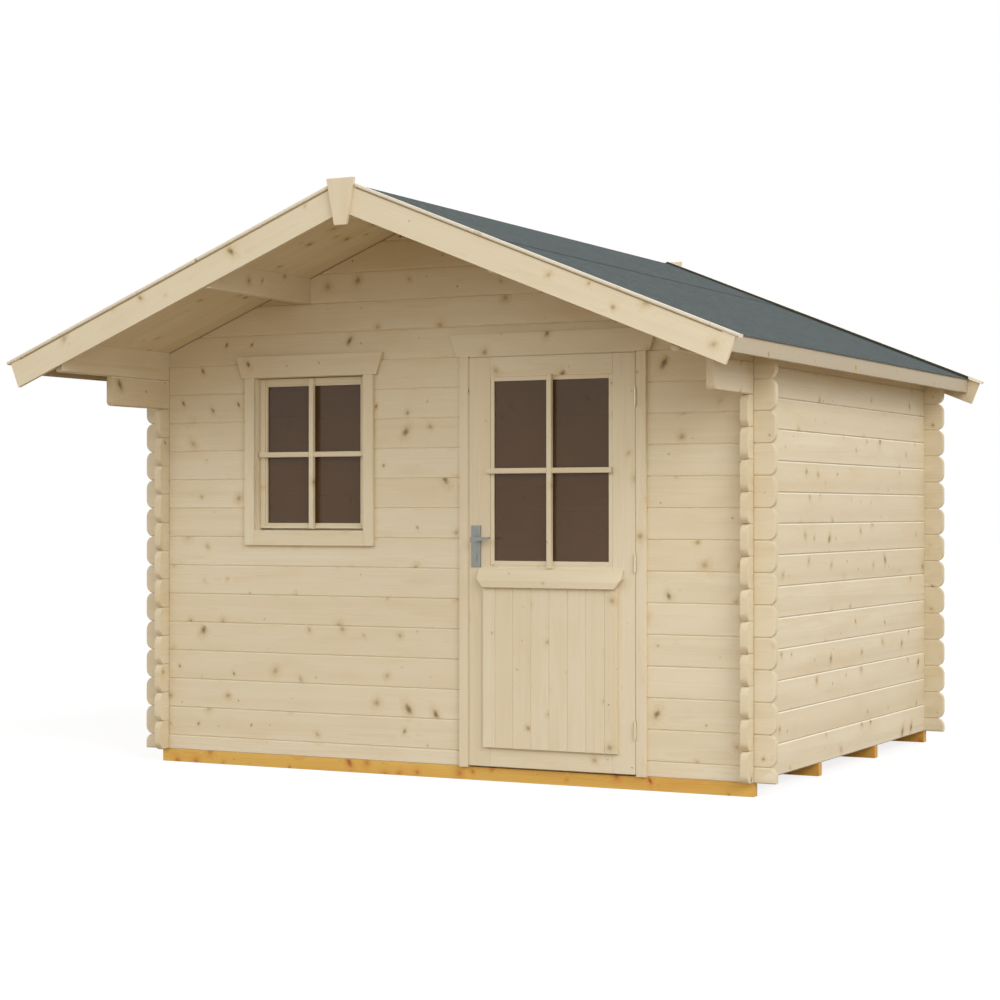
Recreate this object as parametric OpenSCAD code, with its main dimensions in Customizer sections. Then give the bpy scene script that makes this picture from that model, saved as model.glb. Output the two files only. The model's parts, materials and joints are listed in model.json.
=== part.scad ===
// A small log cabin: interlocking log walls with crossed corner tips, a gable roof with a deep
// front overhang, one glazed door that swings outwards and one window.
// Millimetres, +Z up, front towards -Y, origin on the floor under the middle of the outline.

/* [Logs] */
// Height of one log course
course_h = 135; // [130:1:165]
// Thickness of a wall log
log_t = 34; // [28:1:44]
// Bevel along the long edges of a log
log_bevel = 5; // [1:0.5:6]
// Open joint between two logs
log_joint = 0.3; // [0.2:0.1:0.6]
// Height of the rounded corners of the crossed log tips
tip_round = 40; // [10:1:42]
// Radius of a rounded corner as a multiple of its height
tip_bulge = 1.05; // [1:0.05:1.5]
// How far the side wall logs run past the front and back walls
side_tip = 70; // [40:1:120]
// How far the front and back wall logs run past the side walls
end_tip = 97; // [40:1:120]

/* [House] */
// Outer width between the side wall faces
house_w = 3000; // [2500:10:3600]
// Outer depth between the front and back wall faces
house_d = 2515; // [2000:5:3200]
// Number of courses in a side wall
side_courses = 14; // [14:1:17]

/* [Floor] */
// Height of a floor beam
beam_h = 58; // [40:1:80]
// Width of a floor beam
beam_w = 45; // [38:1:80]
// Number of floor beams
beam_count = 4; // [4:1:6]
// Thickness of the floor boards
floor_t = 18; // [16:1:28]
// Gap between the floor boards and the walls
floor_gap = 5; // [2:1:10]

/* [Roof] */
// Roof pitch in degrees
roof_pitch = 22; // [18:1:28]
// Roof length in front of the front wall
front_overhang = 810; // [300:5:1000]
// Roof length behind the back wall
rear_overhang = 142; // [110:1:300]
// Eave reach of the roof boards past the side walls
eave_reach = 162; // [120:1:220]
// Thickness of the roof boards
roof_board_t = 15; // [12:1:22]
// Thickness of the roofing felt
felt_t = 2.5; // [2:0.5:5]
// Reach of the felt past the eave board
felt_lip = 7; // [2:1:15]
// Reach of the upper felt sheet from the ridge
ridge_sheet_x = 628; // [100:1:800]
// Distance from the middle to the inner face of a purlin
purlin_x = 675; // [400:5:800]
// Width of a purlin
purlin_w = 45; // [34:1:80]
// Depth of a purlin before it is matched to a log course
purlin_h = 117; // [100:1:150]
// Width of the ridge purlin
ridge_purlin_w = 45; // [34:1:80]
// Forward reach of the lower corbel log
corbel_reach = 442; // [150:1:600]
// Corner radius of the lower corbel log
corbel_round = 24; // [5:1:33]

/* [Roof edges] */
// Depth of a barge board, square to the slope
barge_h = 115; // [90:1:150]
// Thickness of a barge board
barge_t = 18; // [14:1:28]
// Reach of a barge board past the eave board
barge_past = 61; // [20:1:90]
// Thickness of the cover batten
batten_t = 13; // [10:1:20]
// Width of the cover batten
batten_w = 42; // [30:1:70]
// Reach of the cover batten past the barge board
batten_past = 14; // [0:1:25]
// How far the cover batten stands in front of the barge board
batten_over = 8; // [0:1:14]
// Thickness of the eave board
eave_board_t = 18; // [14:1:28]
// Height of the eave board
eave_board_h = 70; // [50:1:100]
// Thickness of a peak board
peak_t = 18; // [14:1:28]
// Height of a peak board
peak_h = 195; // [150:1:240]
// Width of a peak board at its top
peak_top_w = 132; // [100:1:180]
// Width of a peak board at its foot
peak_foot_w = 57; // [40:1:90]
// Height of a peak board above the cover battens
peak_over = 0; // [0:1:20]

/* [Trims] */
// Thickness of the outside trims
trim_t = 20; // [15:1:28]
// Height of a head trim
head_trim_h = 100; // [80:1:130]
// Reach of a head trim's foot past the side trims
head_foot_past = 16; // [5:1:30]
// Reach of a head trim's top past the side trims
head_top_past = 50; // [20:1:70]
// Thickness of the inside trims
inner_trim_t = 18; // [12:1:24]
// Width of the inside trims
inner_trim_w = 44; // [30:1:60]
// Gap between a door or window frame and the log ends
frame_gap = 1.5; // [1:0.5:4]

/* [Door] */
// Middle of the doorway from the middle of the house
door_x = 568.5; // [500:0.5:700]
// Clear width between the door trims
door_clear_w = 813; // [700:1:850]
// Height of the head trim's foot above the floor beams
door_clear_h = 1819; // [1760:1:1830]
// Width of the door's side trims
door_trim_w = 44; // [35:1:60]
// Width of a door jamb
door_jamb_w = 34; // [28:1:45]
// Depth of the door frame into the room
door_frame_d = 58; // [50:1:80]
// Width of the stop behind the door leaf
door_stop_w = 12; // [8:1:15]
// Gap at the hinges, the head and the stop
door_gap = 5; // [5:0.5:7]
// Gap at the lock side
lock_gap = 6.5; // [6:0.5:9]
// Gap under the leaf
sill_gap = 9; // [6:1:15]
// Height of the threshold
threshold_h = 40; // [25:1:60]
// Thickness of the door leaf
leaf_t = 40; // [34:1:44]
// Width of a stile of the leaf
stile_w = 105; // [90:1:120]
// Height of the top rail of the leaf
top_rail_h = 88; // [70:1:110]
// Height of the bottom rail of the leaf
bottom_rail_h = 120; // [90:1:140]
// Height of the mid rail of the leaf
mid_rail_h = 100; // [80:1:120]
// Height from the leaf's foot to the top of its mid rail
mid_rail_z = 888; // [780:1:960]
// Thickness of the panel between the rails
core_t = 20; // [12:1:28]
// Width of the bead around the door glass
bead_w = 18.5; // [12:0.5:25]
// Set back of the bead from the leaf's face
bead_back = 2; // [0:0.5:5]
// Depth of the bead
bead_d = 24; // [18:1:28]
// Thickness of the glass
glass_t = 4; // [3:0.5:6]
// Depth of the glass in its groove
glass_in = 6; // [3:1:7]
// Set back of the door glass from the leaf's face
door_glass_back = 9; // [6:1:14]
// Width of the boarded panel on the leaf
boarding_w = 646; // [560:1:660]
// Height of the boarded panel on the leaf
boarding_h = 705; // [600:1:705]
// Height from the leaf's foot to the boarded panel
boarding_z = 85; // [60:1:100]
// Thickness of the boarded panel
boarding_t = 18; // [12:1:22]
// Width of the drip board
drip_w = 696; // [600:1:720]
// Height of the drip board
drip_h = 82; // [60:1:110]
// Depth of the drip board at its foot
drip_d = 38; // [25:1:42]
// Depth of the drip board at its top
drip_top_d = 12; // [8:1:16]
// Height of the drip board's upright face
drip_face_h = 30; // [20:1:50]
// Width of the drip board's corner cuts
drip_cut_w = 32; // [10:1:40]
// Height of the drip board's corner cuts
drip_cut_h = 41; // [20:1:60]

/* [Door fittings] */
// Radius of a hinge knuckle
knuckle_r = 5.5; // [4.5:0.5:7]
// Height of one hinge knuckle
knuckle_h = 40; // [25:1:60]
// Radius of a hinge pin
hinge_pin_r = 2.5; // [1.5:0.5:3]
// Thickness of a hinge plate
hinge_plate_t = 2; // [1.5:0.1:2]
// Depth of a hinge plate
hinge_plate_d = 28; // [20:1:35]
// Distance from the ends of the leaf to the outer hinges
hinge_end = 190; // [120:1:300]
// Set back of the handle plate from the leaf's lock edge
handle_back = 36.5; // [30:0.5:45]
// Width of a handle plate
plate_w = 46; // [36:1:50]
// Height of a handle plate
plate_h = 183; // [150:1:220]
// Thickness of a handle plate
plate_t = 6; // [3:0.5:8]
// Height of the handle plate's foot above the floor beams
plate_z = 888; // [860:1:950]
// Height of the lever axis above the handle plate's foot
lever_z = 121; // [100:1:140]
// Length of the lever
lever_l = 84; // [70:1:120]
// Height of the lever at its root
lever_h = 22; // [16:1:26]
// Height of the lever at its tip
lever_tip_h = 8; // [5:1:14]
// Thickness of the lever
lever_t = 9; // [6:1:12]
// Radius of the lever's neck
neck_r = 9; // [7:0.5:11]
// Distance from the plate to the back of the lever
lever_stand = 28; // [25:1:45]
// Radius of the spindle
spindle_r = 4; // [3:0.5:5]

/* [Window] */
// Middle of the window from the middle of the house
window_x = -675.5; // [-750:0.5:-600]
// Clear width between the window trims
window_clear_w = 591; // [480:1:660]
// Height of the bottom trim's top above the floor beams
window_z = 1044; // [950:1:1100]
// Clear height between the window trims
window_clear_h = 712; // [600:1:712]
// Width of the window's side trims
window_trim_w = 52; // [40:1:70]
// Height of the window's bottom trim
window_sill_h = 68; // [50:1:80]
// Width of the window frame behind the trims
window_jamb_w = 30; // [24:1:45]
// Depth of the window frame
window_frame_d = 76; // [72:1:90]
// Reach of the frame inside the trims
window_jamb_in = 2; // [0:0.5:5]
// Width of the stop behind the sash
window_stop_w = 12; // [8:1:16]
// Gap above and beside the sash
sash_gap = 3; // [2:0.5:5]
// Gap under the sash
sash_foot_gap = 9; // [3:0.5:12]
// Set back of the sash from the wall's face
sash_back = 28; // [20:1:30]
// Thickness of the sash
sash_t = 36; // [30:1:40]
// Width of a sash stile
sash_stile_w = 38; // [30:1:50]
// Height of the sash's bottom rail
sash_foot_h = 24; // [20:1:50]
// Height of the sash's top rail
sash_head_h = 36; // [25:1:50]
// Width of the bead around the window glass
window_bead_w = 10; // [9:0.5:16]
// Set back of the window bead from the sash's face
window_bead_back = 4; // [1:0.5:6]
// Set back of the window glass from the sash's face
window_glass_back = 15; // [10:1:20]

/* [Hidden] */
// Running clearance around a pin or neck
running = 0.06;
// Seat between two pieces that rest on each other
seat = 0.3;
// How far a cut runs past the material
past = 1;
$fn = 48;

tan_pitch = tan(roof_pitch);
sin_pitch = sin(roof_pitch);
cos_pitch = cos(roof_pitch);

half_w = house_w / 2;
room_half_w = half_w - log_t;
wall_top_z = beam_h + side_courses * course_h;
ridge_z = wall_top_z + room_half_w * tan_pitch;
board_v = roof_board_t / cos_pitch;
felt_v = felt_t / cos_pitch;
cover_v = board_v + seat + felt_v;
board_end_x = half_w + eave_reach;
eave_x = board_end_x + seat + eave_board_t;
barge_x = eave_x + barge_past;
peak_top_z = ridge_z + cover_v + seat + batten_t / cos_pitch + peak_over;

front_reach = front_overhang + barge_t + seat + peak_t;
rear_reach = rear_overhang + barge_t + seat + peak_t;
front_y = -(house_d + rear_reach - front_reach) / 2;
back_y = front_y + house_d;
roof_front_y = front_y - front_overhang;
roof_back_y = back_y + rear_overhang;

end_log_x = half_w + end_tip;
smallest_peak_log = 40;
end_courses = ceil((ridge_z - smallest_peak_log - beam_h) / course_h + 0.5);
purlin_z = course_line(ridge_z - purlin_x * tan_pitch - purlin_h);
ridge_purlin_z = course_line(ridge_z - purlin_h);

door_x0 = door_x - door_clear_w / 2;
door_x1 = door_x + door_clear_w / 2;
door_head_z = beam_h + door_clear_h;
door_frame_x0 = door_x0 - door_jamb_w;
door_frame_x1 = door_x1 + door_jamb_w;
door_frame_top_z = door_head_z + door_jamb_w;
door_cut_x0 = door_frame_x0 - frame_gap;
door_cut_x1 = door_frame_x1 + frame_gap;
door_cut_z = door_frame_top_z + frame_gap;
lintel = floor((door_cut_z - beam_h) / course_h + 0.5);

leaf_x0 = door_x0 + lock_gap;
leaf_x1 = door_x1 - door_gap;
leaf_w = leaf_x1 - leaf_x0;
leaf_mid_x = (leaf_x0 + leaf_x1) / 2;
leaf_z0 = beam_h + sill_gap;
leaf_z1 = door_head_z - door_gap;
leaf_y0 = -trim_t;
leaf_y1 = leaf_y0 + leaf_t;
stop_y = leaf_y1 + door_gap;
light_x0 = leaf_x0 + stile_w;
light_x1 = leaf_x1 - stile_w;
light_z0 = leaf_z0 + mid_rail_z;
light_z1 = leaf_z1 - top_rail_h;
door_glass_y = leaf_y0 + door_glass_back;

hinge_x = leaf_x1 + door_gap / 2;
hinge_y = leaf_y0 - knuckle_r - 0.5;
hinge_zs = [leaf_z0 + hinge_end, (leaf_z0 + leaf_z1) / 2, leaf_z1 - hinge_end];
plate_x = leaf_x0 + handle_back;
plate_z0 = beam_h + plate_z;
lever_axis_z = plate_z0 + lever_z;

window_x0 = window_x - window_clear_w / 2;
window_x1 = window_x + window_clear_w / 2;
window_z0 = beam_h + window_z;
window_z1 = window_z0 + window_clear_h;
sash_x0 = window_x0 + window_jamb_in + sash_gap;
sash_x1 = window_x1 - window_jamb_in - sash_gap;
sash_z0 = window_z0 + window_jamb_in + sash_foot_gap;
sash_z1 = window_z1 - window_jamb_in - sash_gap;
pane_x0 = sash_x0 + sash_stile_w;
pane_x1 = sash_x1 - sash_stile_w;
pane_z0 = sash_z0 + sash_foot_h;
pane_z1 = sash_z1 - sash_head_h;
window_glass_y = sash_back + window_glass_back;

spruce = "burlywood";
pale_spruce = "wheat";
treated = "goldenrod";
felt_colour = "darkslategray";
steel = "silver";
zinc = "darkkhaki";
glass_colour = "saddlebrown";

// Bottom of course i in the front and back walls, which start with a half course
function end_course_z(i) = beam_h + (i == 0 ? 0 : (i - 0.5) * course_h);

// Top of course i in the front and back walls; the last one runs up to the ridge
function end_course_top(i) = i == end_courses - 1 ? ridge_z : end_course_z(i + 1);

// Joint line of the front and back walls that is nearest to a height
function course_line(z) = end_course_z(round((z - beam_h) / course_h + 0.5));

// Underside of the roof boards at a distance from the middle
function roof_z(x) = ridge_z - x * tan_pitch;

// Face of a log: the radii are [lower, upper] at the low end and at the high end
module log_face(x0, x1, z0, z1, round0, round1) {
    difference() {
        translate([x0, z0])
        square([x1 - x0, z1 - z0]);
        corner_waste([x0, z0], 0, 0, round0[0]);
        corner_waste([x0, z1], 0, 1, round0[1]);
        corner_waste([x1, z0], 1, 0, round1[0]);
        corner_waste([x1, z1], 1, 1, round1[1]);
    }
}

// What a corner loses when it is rounded over a height; flips turn it to the right or the upper
// side. The arc runs into the end of the log smoothly and meets the joint at an angle
module corner_waste(p, flip_x, flip_z, height) {
    if (height > 0) {
        radius = height * tip_bulge;
        inset = radius - sqrt(radius * radius - height * height);
        translate(p)
        mirror([flip_x, 0])
        mirror([0, flip_z])
        difference() {
            translate([-past, -past])
            square([inset + past, height + past]);
            translate([radius, height])
            circle(radius);
        }
    }
}

// Cross-section of a log with beveled edges, outside face at zero
module log_section(z0, z1) {
    a = log_bevel;
    polygon([
        [a, z0], [log_t - a, z0], [log_t, z0 + a], [log_t, z1 - a],
        [log_t - a, z1], [a, z1], [0, z1 - a], [0, z0 + a]
    ]);
}

// Cross-section of the top log of a side wall, planed to the roof pitch
module top_log_section(z0) {
    a = log_bevel;
    polygon([
        [a, z0], [log_t - a, z0], [log_t, z0 + a],
        [log_t, roof_z(room_half_w) - seat], [0, roof_z(half_w) - seat], [0, z0 + a]
    ]);
}

// A shape in X and Z, run back from y0 to y1
module run_back(y0, y1) {
    translate([0, y1, 0])
    rotate([90, 0, 0])
    linear_extrude(height = y1 - y0)
    children();
}

// A shape in Y and Z, run across from x0 to x1
module run_across(x0, x1) {
    translate([x0, 0, 0])
    rotate([90, 0, 90])
    linear_extrude(height = x1 - x0)
    children();
}

// A shape in X and Y, run up from z0 to z1
module run_up(z0, z1) {
    translate([0, 0, z0])
    linear_extrude(height = z1 - z0)
    children();
}

// A box between two corners
module block(a, b) {
    translate(a)
    cube(b - a);
}

// Four members of a frame between two outer corners: two uprights, and a foot and a head between
// them; inner_y is where the members start to be wider by step, up to the back
module frame_members(a, b, left, right, foot, head, inner_y, step) {
    difference() {
        block(a, [b[0], b[1], a[2] + foot]);
        uprights(a, b, left, right, inner_y, step, seat);
    }
    difference() {
        block([a[0], a[1], b[2] - head], b);
        uprights(a, b, left, right, inner_y, step, seat);
    }
    if (step > 0) {
        inner = left + step + seat;
        block([a[0] + inner, inner_y, a[2] + foot - past], [b[0] - inner, b[1], a[2] + foot + step]);
        block([a[0] + inner, inner_y, b[2] - head - step], [b[0] - inner, b[1], b[2] - head + past]);
    }
    uprights(a, b, left, right, inner_y, step, 0);
}

// The uprights of a frame, grown by a clearance
module uprights(a, b, left, right, inner_y, step, clear) {
    block([a[0] - clear, a[1] - clear, a[2] - clear], [a[0] + left + clear, b[1] + clear, b[2] + clear]);
    block([b[0] - right - clear, a[1] - clear, a[2] - clear], b + [clear, clear, clear]);
    if (step > 0) {
        y = inner_y - clear;
        block([a[0], y, a[2] - clear], [a[0] + left + step + clear, b[1] + clear, b[2] + clear]);
        block([b[0] - right - step - clear, y, a[2] - clear], [b[0], b[1] + clear, b[2] + clear]);
    }
}

// Places pieces that are drawn from the outside face of the front wall
module on_front() {
    translate([0, front_y, 0])
    children();
}

// Places pieces that are drawn from the outside face of the back wall
module on_back() {
    translate([0, back_y, 0])
    mirror([0, 1, 0])
    children();
}

module left_side() {
    mirror([1, 0, 0])
    children();
}

// Half laps that leave the middle of a log where another wall crosses it
module laps(middles, z0, z1, keep0, keep1) {
    lap_w = log_t + 2 * seat;
    for (x = middles) {
        if (keep0 > z0) {
            translate([x - lap_w / 2, z0 - past])
            square([lap_w, keep0 - z0 + past]);
        }
        translate([x - lap_w / 2, keep1])
        square([lap_w, z1 - keep1 + past]);
    }
}

// Outline of everything below the roof boards
module under_roof() {
    x = end_log_x + past;
    polygon([[-x, 0], [x, 0], [x, roof_z(x) - seat], [0, ridge_z - seat], [-x, roof_z(x) - seat]]);
}

// Sections of the purlins, grown by a clearance
module purlin_section(clear) {
    x0 = purlin_x - clear;
    x1 = purlin_x + purlin_w + clear;
    z0 = purlin_z + log_joint / 2 - clear / 2;
    z1 = clear - seat;
    polygon([[x0, z0], [x1, z0], [x1, roof_z(x1) + z1], [x0, roof_z(x0) + z1]]);
}

module ridge_purlin_section(clear) {
    x = ridge_purlin_w / 2 + clear;
    z0 = ridge_purlin_z + log_joint / 2 - clear / 2;
    z1 = clear - seat;
    polygon([[-x, z0], [x, z0], [x, roof_z(x) + z1], [0, ridge_z + z1], [-x, roof_z(x) + z1]]);
}

// Course i of the front or back wall between x0 and x1; openings cut the door and window
module end_log(i, x0, x1, openings) {
    z0 = end_course_z(i) + log_joint / 2;
    z1 = end_course_top(i) - log_joint / 2;
    quarter = course_h / 4;
    keep0 = i == 0 ? z0 : end_course_z(i) + quarter + log_joint / 2;
    keep1 = end_course_z(i) + (i == 0 ? quarter : 3 * quarter) - log_joint / 2;
    tips = [i == 0 ? 0 : tip_round, tip_round];
    low_round = x0 <= -end_log_x && i < side_courses + 1 ? tips : [0, 0];
    high_round = x1 >= end_log_x && i < side_courses + 1 ? tips : [0, 0];
    corner_x = half_w - log_t / 2;
    intersection() {
        run_across(x0 - past, x1 + past)
        log_section(z0, z1);
        run_back(-past, log_t + past)
        difference() {
            intersection() {
                log_face(x0, x1, z0, z1, low_round, high_round);
                under_roof();
            }
            laps([-corner_x, corner_x], z0, z1, keep0, keep1);
            purlin_section(seat);
            mirror([1, 0])
            purlin_section(seat);
            ridge_purlin_section(seat);
            if (openings) {
                door_opening();
                window_opening();
            }
        }
    }
}

module door_opening() {
    translate([door_cut_x0, 0])
    square([door_cut_x1 - door_cut_x0, door_cut_z]);
}

module window_opening() {
    gap = window_jamb_w + frame_gap;
    translate([window_x0 - gap, window_z0 - gap])
    square([window_clear_w + 2 * gap, window_clear_h + 2 * gap]);
}

// Logs of the right wall; the two top ones carry the front overhang
module side_logs() {
    top = side_courses - 1;
    for (j = [0 : top]) {
        z0 = beam_h + j * course_h + log_joint / 2;
        z1 = beam_h + (j + 1) * course_h - log_joint / 2;
        quarter = course_h / 4;
        reach = j == top ? front_overhang - seat : j == top - 1 ? corbel_reach : side_tip;
        tips = [tip_round, tip_round];
        front_round = j == top ? [0, 0] : j == top - 1 ? [corbel_round, 0] : tips;
        back_round = j == top ? [tip_round, 0] : tips;
        y0 = front_y - reach;
        y1 = back_y + side_tip;
        translate([half_w, 0, 0])
        rotate([0, 0, 90])
        intersection() {
            run_across(y0 - past, y1 + past) {
                if (j == top) top_log_section(z0);
                else log_section(z0, z1);
            }
            run_back(-past, log_t + past)
            difference() {
                log_face(y0, y1, z0, z1, front_round, back_round);
                laps([front_y + log_t / 2, back_y - log_t / 2], z0, z1, z0 + quarter, z1 - quarter);
            }
        }
    }
}

module left_wall_logs() {
    color(spruce)
    left_side()
    side_logs();
}

module right_wall_logs() {
    color(spruce)
    side_logs();
}

module front_wall_left_logs() {
    color(spruce)
    on_front()
    for (i = [0 : lintel - 1]) end_log(i, -end_log_x, door_cut_x0, true);
}

module front_wall_right_logs() {
    color(spruce)
    on_front()
    for (i = [0 : lintel - 1]) end_log(i, door_cut_x1, end_log_x, true);
}

module front_gable_logs() {
    color(spruce)
    on_front()
    for (i = [lintel : end_courses - 1]) end_log(i, -end_log_x, end_log_x, true);
}

module back_wall_logs() {
    color(spruce)
    on_back()
    for (i = [0 : lintel - 1]) end_log(i, -end_log_x, end_log_x, false);
}

module back_gable_logs() {
    color(spruce)
    on_back()
    for (i = [lintel : end_courses - 1]) end_log(i, -end_log_x, end_log_x, false);
}

// Floor beam k, counted from the front
module floor_beam(k) {
    y = front_y + k * (house_d - beam_w) / (beam_count - 1);
    color(treated)
    block([-half_w, y, 0], [half_w, y + beam_w, beam_h]);
}

module front_floor_beam() {
    floor_beam(0);
}

module second_floor_beam() {
    floor_beam(1);
}

// Every beam between the second and the last
module third_floor_beam() {
    for (k = [2 : beam_count - 2]) floor_beam(k);
}

module back_floor_beam() {
    floor_beam(beam_count - 1);
}

module floor_boards() {
    x = room_half_w - floor_gap;
    y0 = front_y + log_t + floor_gap;
    z0 = beam_h + seat;
    color(spruce)
    difference() {
        block([-x, y0, z0], [x, back_y - log_t - floor_gap, z0 + floor_t]);
        on_front()
        block(
            [door_frame_x0 - frame_gap, 0, 0],
            [door_frame_x1 + frame_gap, door_frame_d + frame_gap, z0 + floor_t + past]
        );
    }
}

// A roof piece between the barge boards, from its section on the right side
module along_roof() {
    run_back(roof_front_y + seat, roof_back_y - seat)
    children();
}

module right_purlin() {
    color(spruce)
    along_roof()
    purlin_section(0);
}

module left_purlin() {
    left_side()
    right_purlin();
}

module ridge_purlin() {
    color(spruce)
    along_roof()
    ridge_purlin_section(0);
}

// A layer on the right slope between two distances from the middle
module slope_layer(x0, x1, rise, thick) {
    polygon([
        [x0, roof_z(x0) + rise], [x1, roof_z(x1) + rise],
        [x1, roof_z(x1) + rise + thick], [x0, roof_z(x0) + rise + thick]
    ]);
}

module right_roof_boards() {
    color(spruce)
    along_roof()
    slope_layer(seat / 2, board_end_x, 0, board_v);
}

module left_roof_boards() {
    left_side()
    right_roof_boards();
}

module right_roof_felt() {
    color(felt_colour)
    along_roof()
    slope_layer(seat / 2, eave_x + felt_lip, board_v + seat, felt_v);
}

module left_roof_felt() {
    left_side()
    right_roof_felt();
}

module ridge_felt() {
    x = ridge_sheet_x;
    z = cover_v + seat;
    gap = batten_w - batten_over - barge_t + seat;
    color(felt_colour)
    run_back(roof_front_y + gap, roof_back_y - gap)
    polygon([
        [-x, roof_z(x) + z], [0, ridge_z + z], [x, roof_z(x) + z],
        [x, roof_z(x) + z + felt_v], [0, ridge_z + z + felt_v], [-x, roof_z(x) + z + felt_v]
    ]);
}

// A board along the right slope whose tail is cut square to the slope
module slope_board(tail_x, top, depth) {
    tail_z = roof_z(tail_x) + top;
    x0 = seat / 2;
    z0 = roof_z(x0) + top;
    polygon([
        [x0, z0], [x0, z0 - depth / cos_pitch],
        [tail_x - depth * sin_pitch, tail_z - depth * cos_pitch], [tail_x, tail_z]
    ]);
}

module barge_board() {
    slope_board(barge_x, cover_v, barge_h);
}

module cover_batten() {
    top = cover_v + seat + batten_t / cos_pitch;
    slope_board(barge_x + batten_past + batten_t * sin_pitch, top, batten_t);
}

module front_right_barge_board() {
    color(pale_spruce)
    run_back(roof_front_y - barge_t, roof_front_y)
    barge_board();
}

module front_left_barge_board() {
    left_side()
    front_right_barge_board();
}

module rear_right_barge_board() {
    color(pale_spruce)
    run_back(roof_back_y, roof_back_y + barge_t)
    barge_board();
}

module rear_left_barge_board() {
    left_side()
    rear_right_barge_board();
}

// The two battens of one gable; where the peak board stands they stop at the barge boards
module cover_battens(y0, y1, peak_y0, peak_y1) {
    x = peak_top_w / 2 + seat;
    for (side = [0, 1])
    mirror([side, 0, 0])
    color(pale_spruce)
    difference() {
        run_back(y0, y1)
        cover_batten();
        block([-past, peak_y0, 0], [x, peak_y1, ridge_z + peak_h]);
    }
}

module front_cover_battens() {
    y = roof_front_y - barge_t;
    cover_battens(y - batten_over, y - batten_over + batten_w, y - batten_over - past, y);
}

module rear_cover_battens() {
    y = roof_back_y + barge_t;
    cover_battens(y + batten_over - batten_w, y + batten_over, y, y + batten_over + past);
}

module peak_board(y0) {
    color(pale_spruce)
    run_back(y0, y0 + peak_t)
    polygon([
        [-peak_foot_w / 2, peak_top_z - peak_h], [peak_foot_w / 2, peak_top_z - peak_h],
        [peak_top_w / 2, peak_top_z], [-peak_top_w / 2, peak_top_z]
    ]);
}

module front_peak_board() {
    peak_board(roof_front_y - barge_t - seat - peak_t);
}

module rear_peak_board() {
    peak_board(roof_back_y + barge_t + seat);
}

module right_eave_board() {
    x0 = board_end_x + seat;
    z0 = roof_z(eave_x) + board_v - eave_board_h;
    color(pale_spruce)
    along_roof()
    polygon([[x0, z0], [eave_x, z0], [eave_x, roof_z(eave_x) + board_v], [x0, roof_z(x0) + board_v]]);
}

module left_eave_board() {
    left_side()
    right_eave_board();
}

// Trims of an opening on the front wall: two sides, a head and an optional foot
module outer_trims(x0, x1, z0, z1, side_w, foot_h) {
    y0 = -trim_t;
    y1 = -seat;
    mid = (x0 + x1) / 2;
    foot_half = (x1 - x0) / 2 + side_w + head_foot_past;
    top_half = (x1 - x0) / 2 + side_w + head_top_past;
    color(pale_spruce) {
        block([x0 - side_w, y0, z0 - foot_h], [x0, y1, z1 - seat]);
        block([x1, y0, z0 - foot_h], [x1 + side_w, y1, z1 - seat]);
        if (foot_h > 0) block([x0 + seat, y0, z0 - foot_h], [x1 - seat, y1, z0]);
        run_back(y0, y1)
        polygon([
            [mid - foot_half, z1], [mid + foot_half, z1],
            [mid + top_half, z1 + head_trim_h], [mid - top_half, z1 + head_trim_h]
        ]);
    }
}

// Plain strips around a frame on the inside of the front wall
module inside_trims(x0, x1, z0, z1, foot) {
    y0 = log_t + seat;
    y1 = y0 + inner_trim_t;
    w = inner_trim_w;
    color(spruce) {
        block([x0 - seat - w, y0, z0], [x0 - seat, y1, z1]);
        block([x1 + seat, y0, z0], [x1 + seat + w, y1, z1]);
        block([x0 - seat - w, y0, z1 + seat], [x1 + seat + w, y1, z1 + seat + w]);
        if (foot) block([x0 - seat - w, y0, z0 - seat - w], [x1 + seat + w, y1, z0 - seat]);
    }
}

module door_trims() {
    on_front()
    outer_trims(door_x0, door_x1, beam_h, door_head_z, door_trim_w, 0);
}

module window_trims() {
    on_front()
    outer_trims(window_x0, window_x1, window_z0, window_z1, window_trim_w, window_sill_h);
}

module inner_trims() {
    w = window_jamb_w;
    on_front() {
        inside_trims(door_frame_x0, door_frame_x1, beam_h + 2 * seat + floor_t, door_frame_top_z, false);
        inside_trims(window_x0 - w, window_x1 + w, window_z0 - w, window_z1 + w, true);
    }
}

// Section of the left door jamb: the jamb and the stop behind the leaf
module jamb_section() {
    polygon([
        [door_frame_x0, seat], [door_x0, seat], [door_x0, stop_y],
        [door_x0 + door_stop_w, stop_y], [door_x0 + door_stop_w, door_frame_d],
        [door_frame_x0, door_frame_d]
    ]);
}

module door_frame() {
    inner = door_stop_w + seat;
    color(spruce)
    on_front() {
        run_up(beam_h + seat, door_head_z)
        jamb_section();
        translate([2 * door_x, 0, 0])
        mirror([1, 0, 0])
        run_up(beam_h + seat, door_head_z)
        jamb_section();
        block(
            [door_frame_x0, seat, door_head_z + seat],
            [door_frame_x1, door_frame_d, door_frame_top_z]
        );
        block(
            [door_x0 + inner, stop_y, door_head_z - door_stop_w],
            [door_x1 - inner, door_frame_d, door_head_z + seat + past]
        );
    }
    threshold();
}

module threshold() {
    inner = door_stop_w + seat;
    ease = 8;
    z0 = beam_h + seat;
    z1 = z0 + threshold_h;
    color(spruce)
    on_front()
    run_across(door_x0 + inner, door_x1 - inner)
    polygon([
        [stop_y, z0], [door_frame_d, z0], [door_frame_d, z1 - ease],
        [door_frame_d - ease, z1], [stop_y, z1]
    ]);
}

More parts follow.
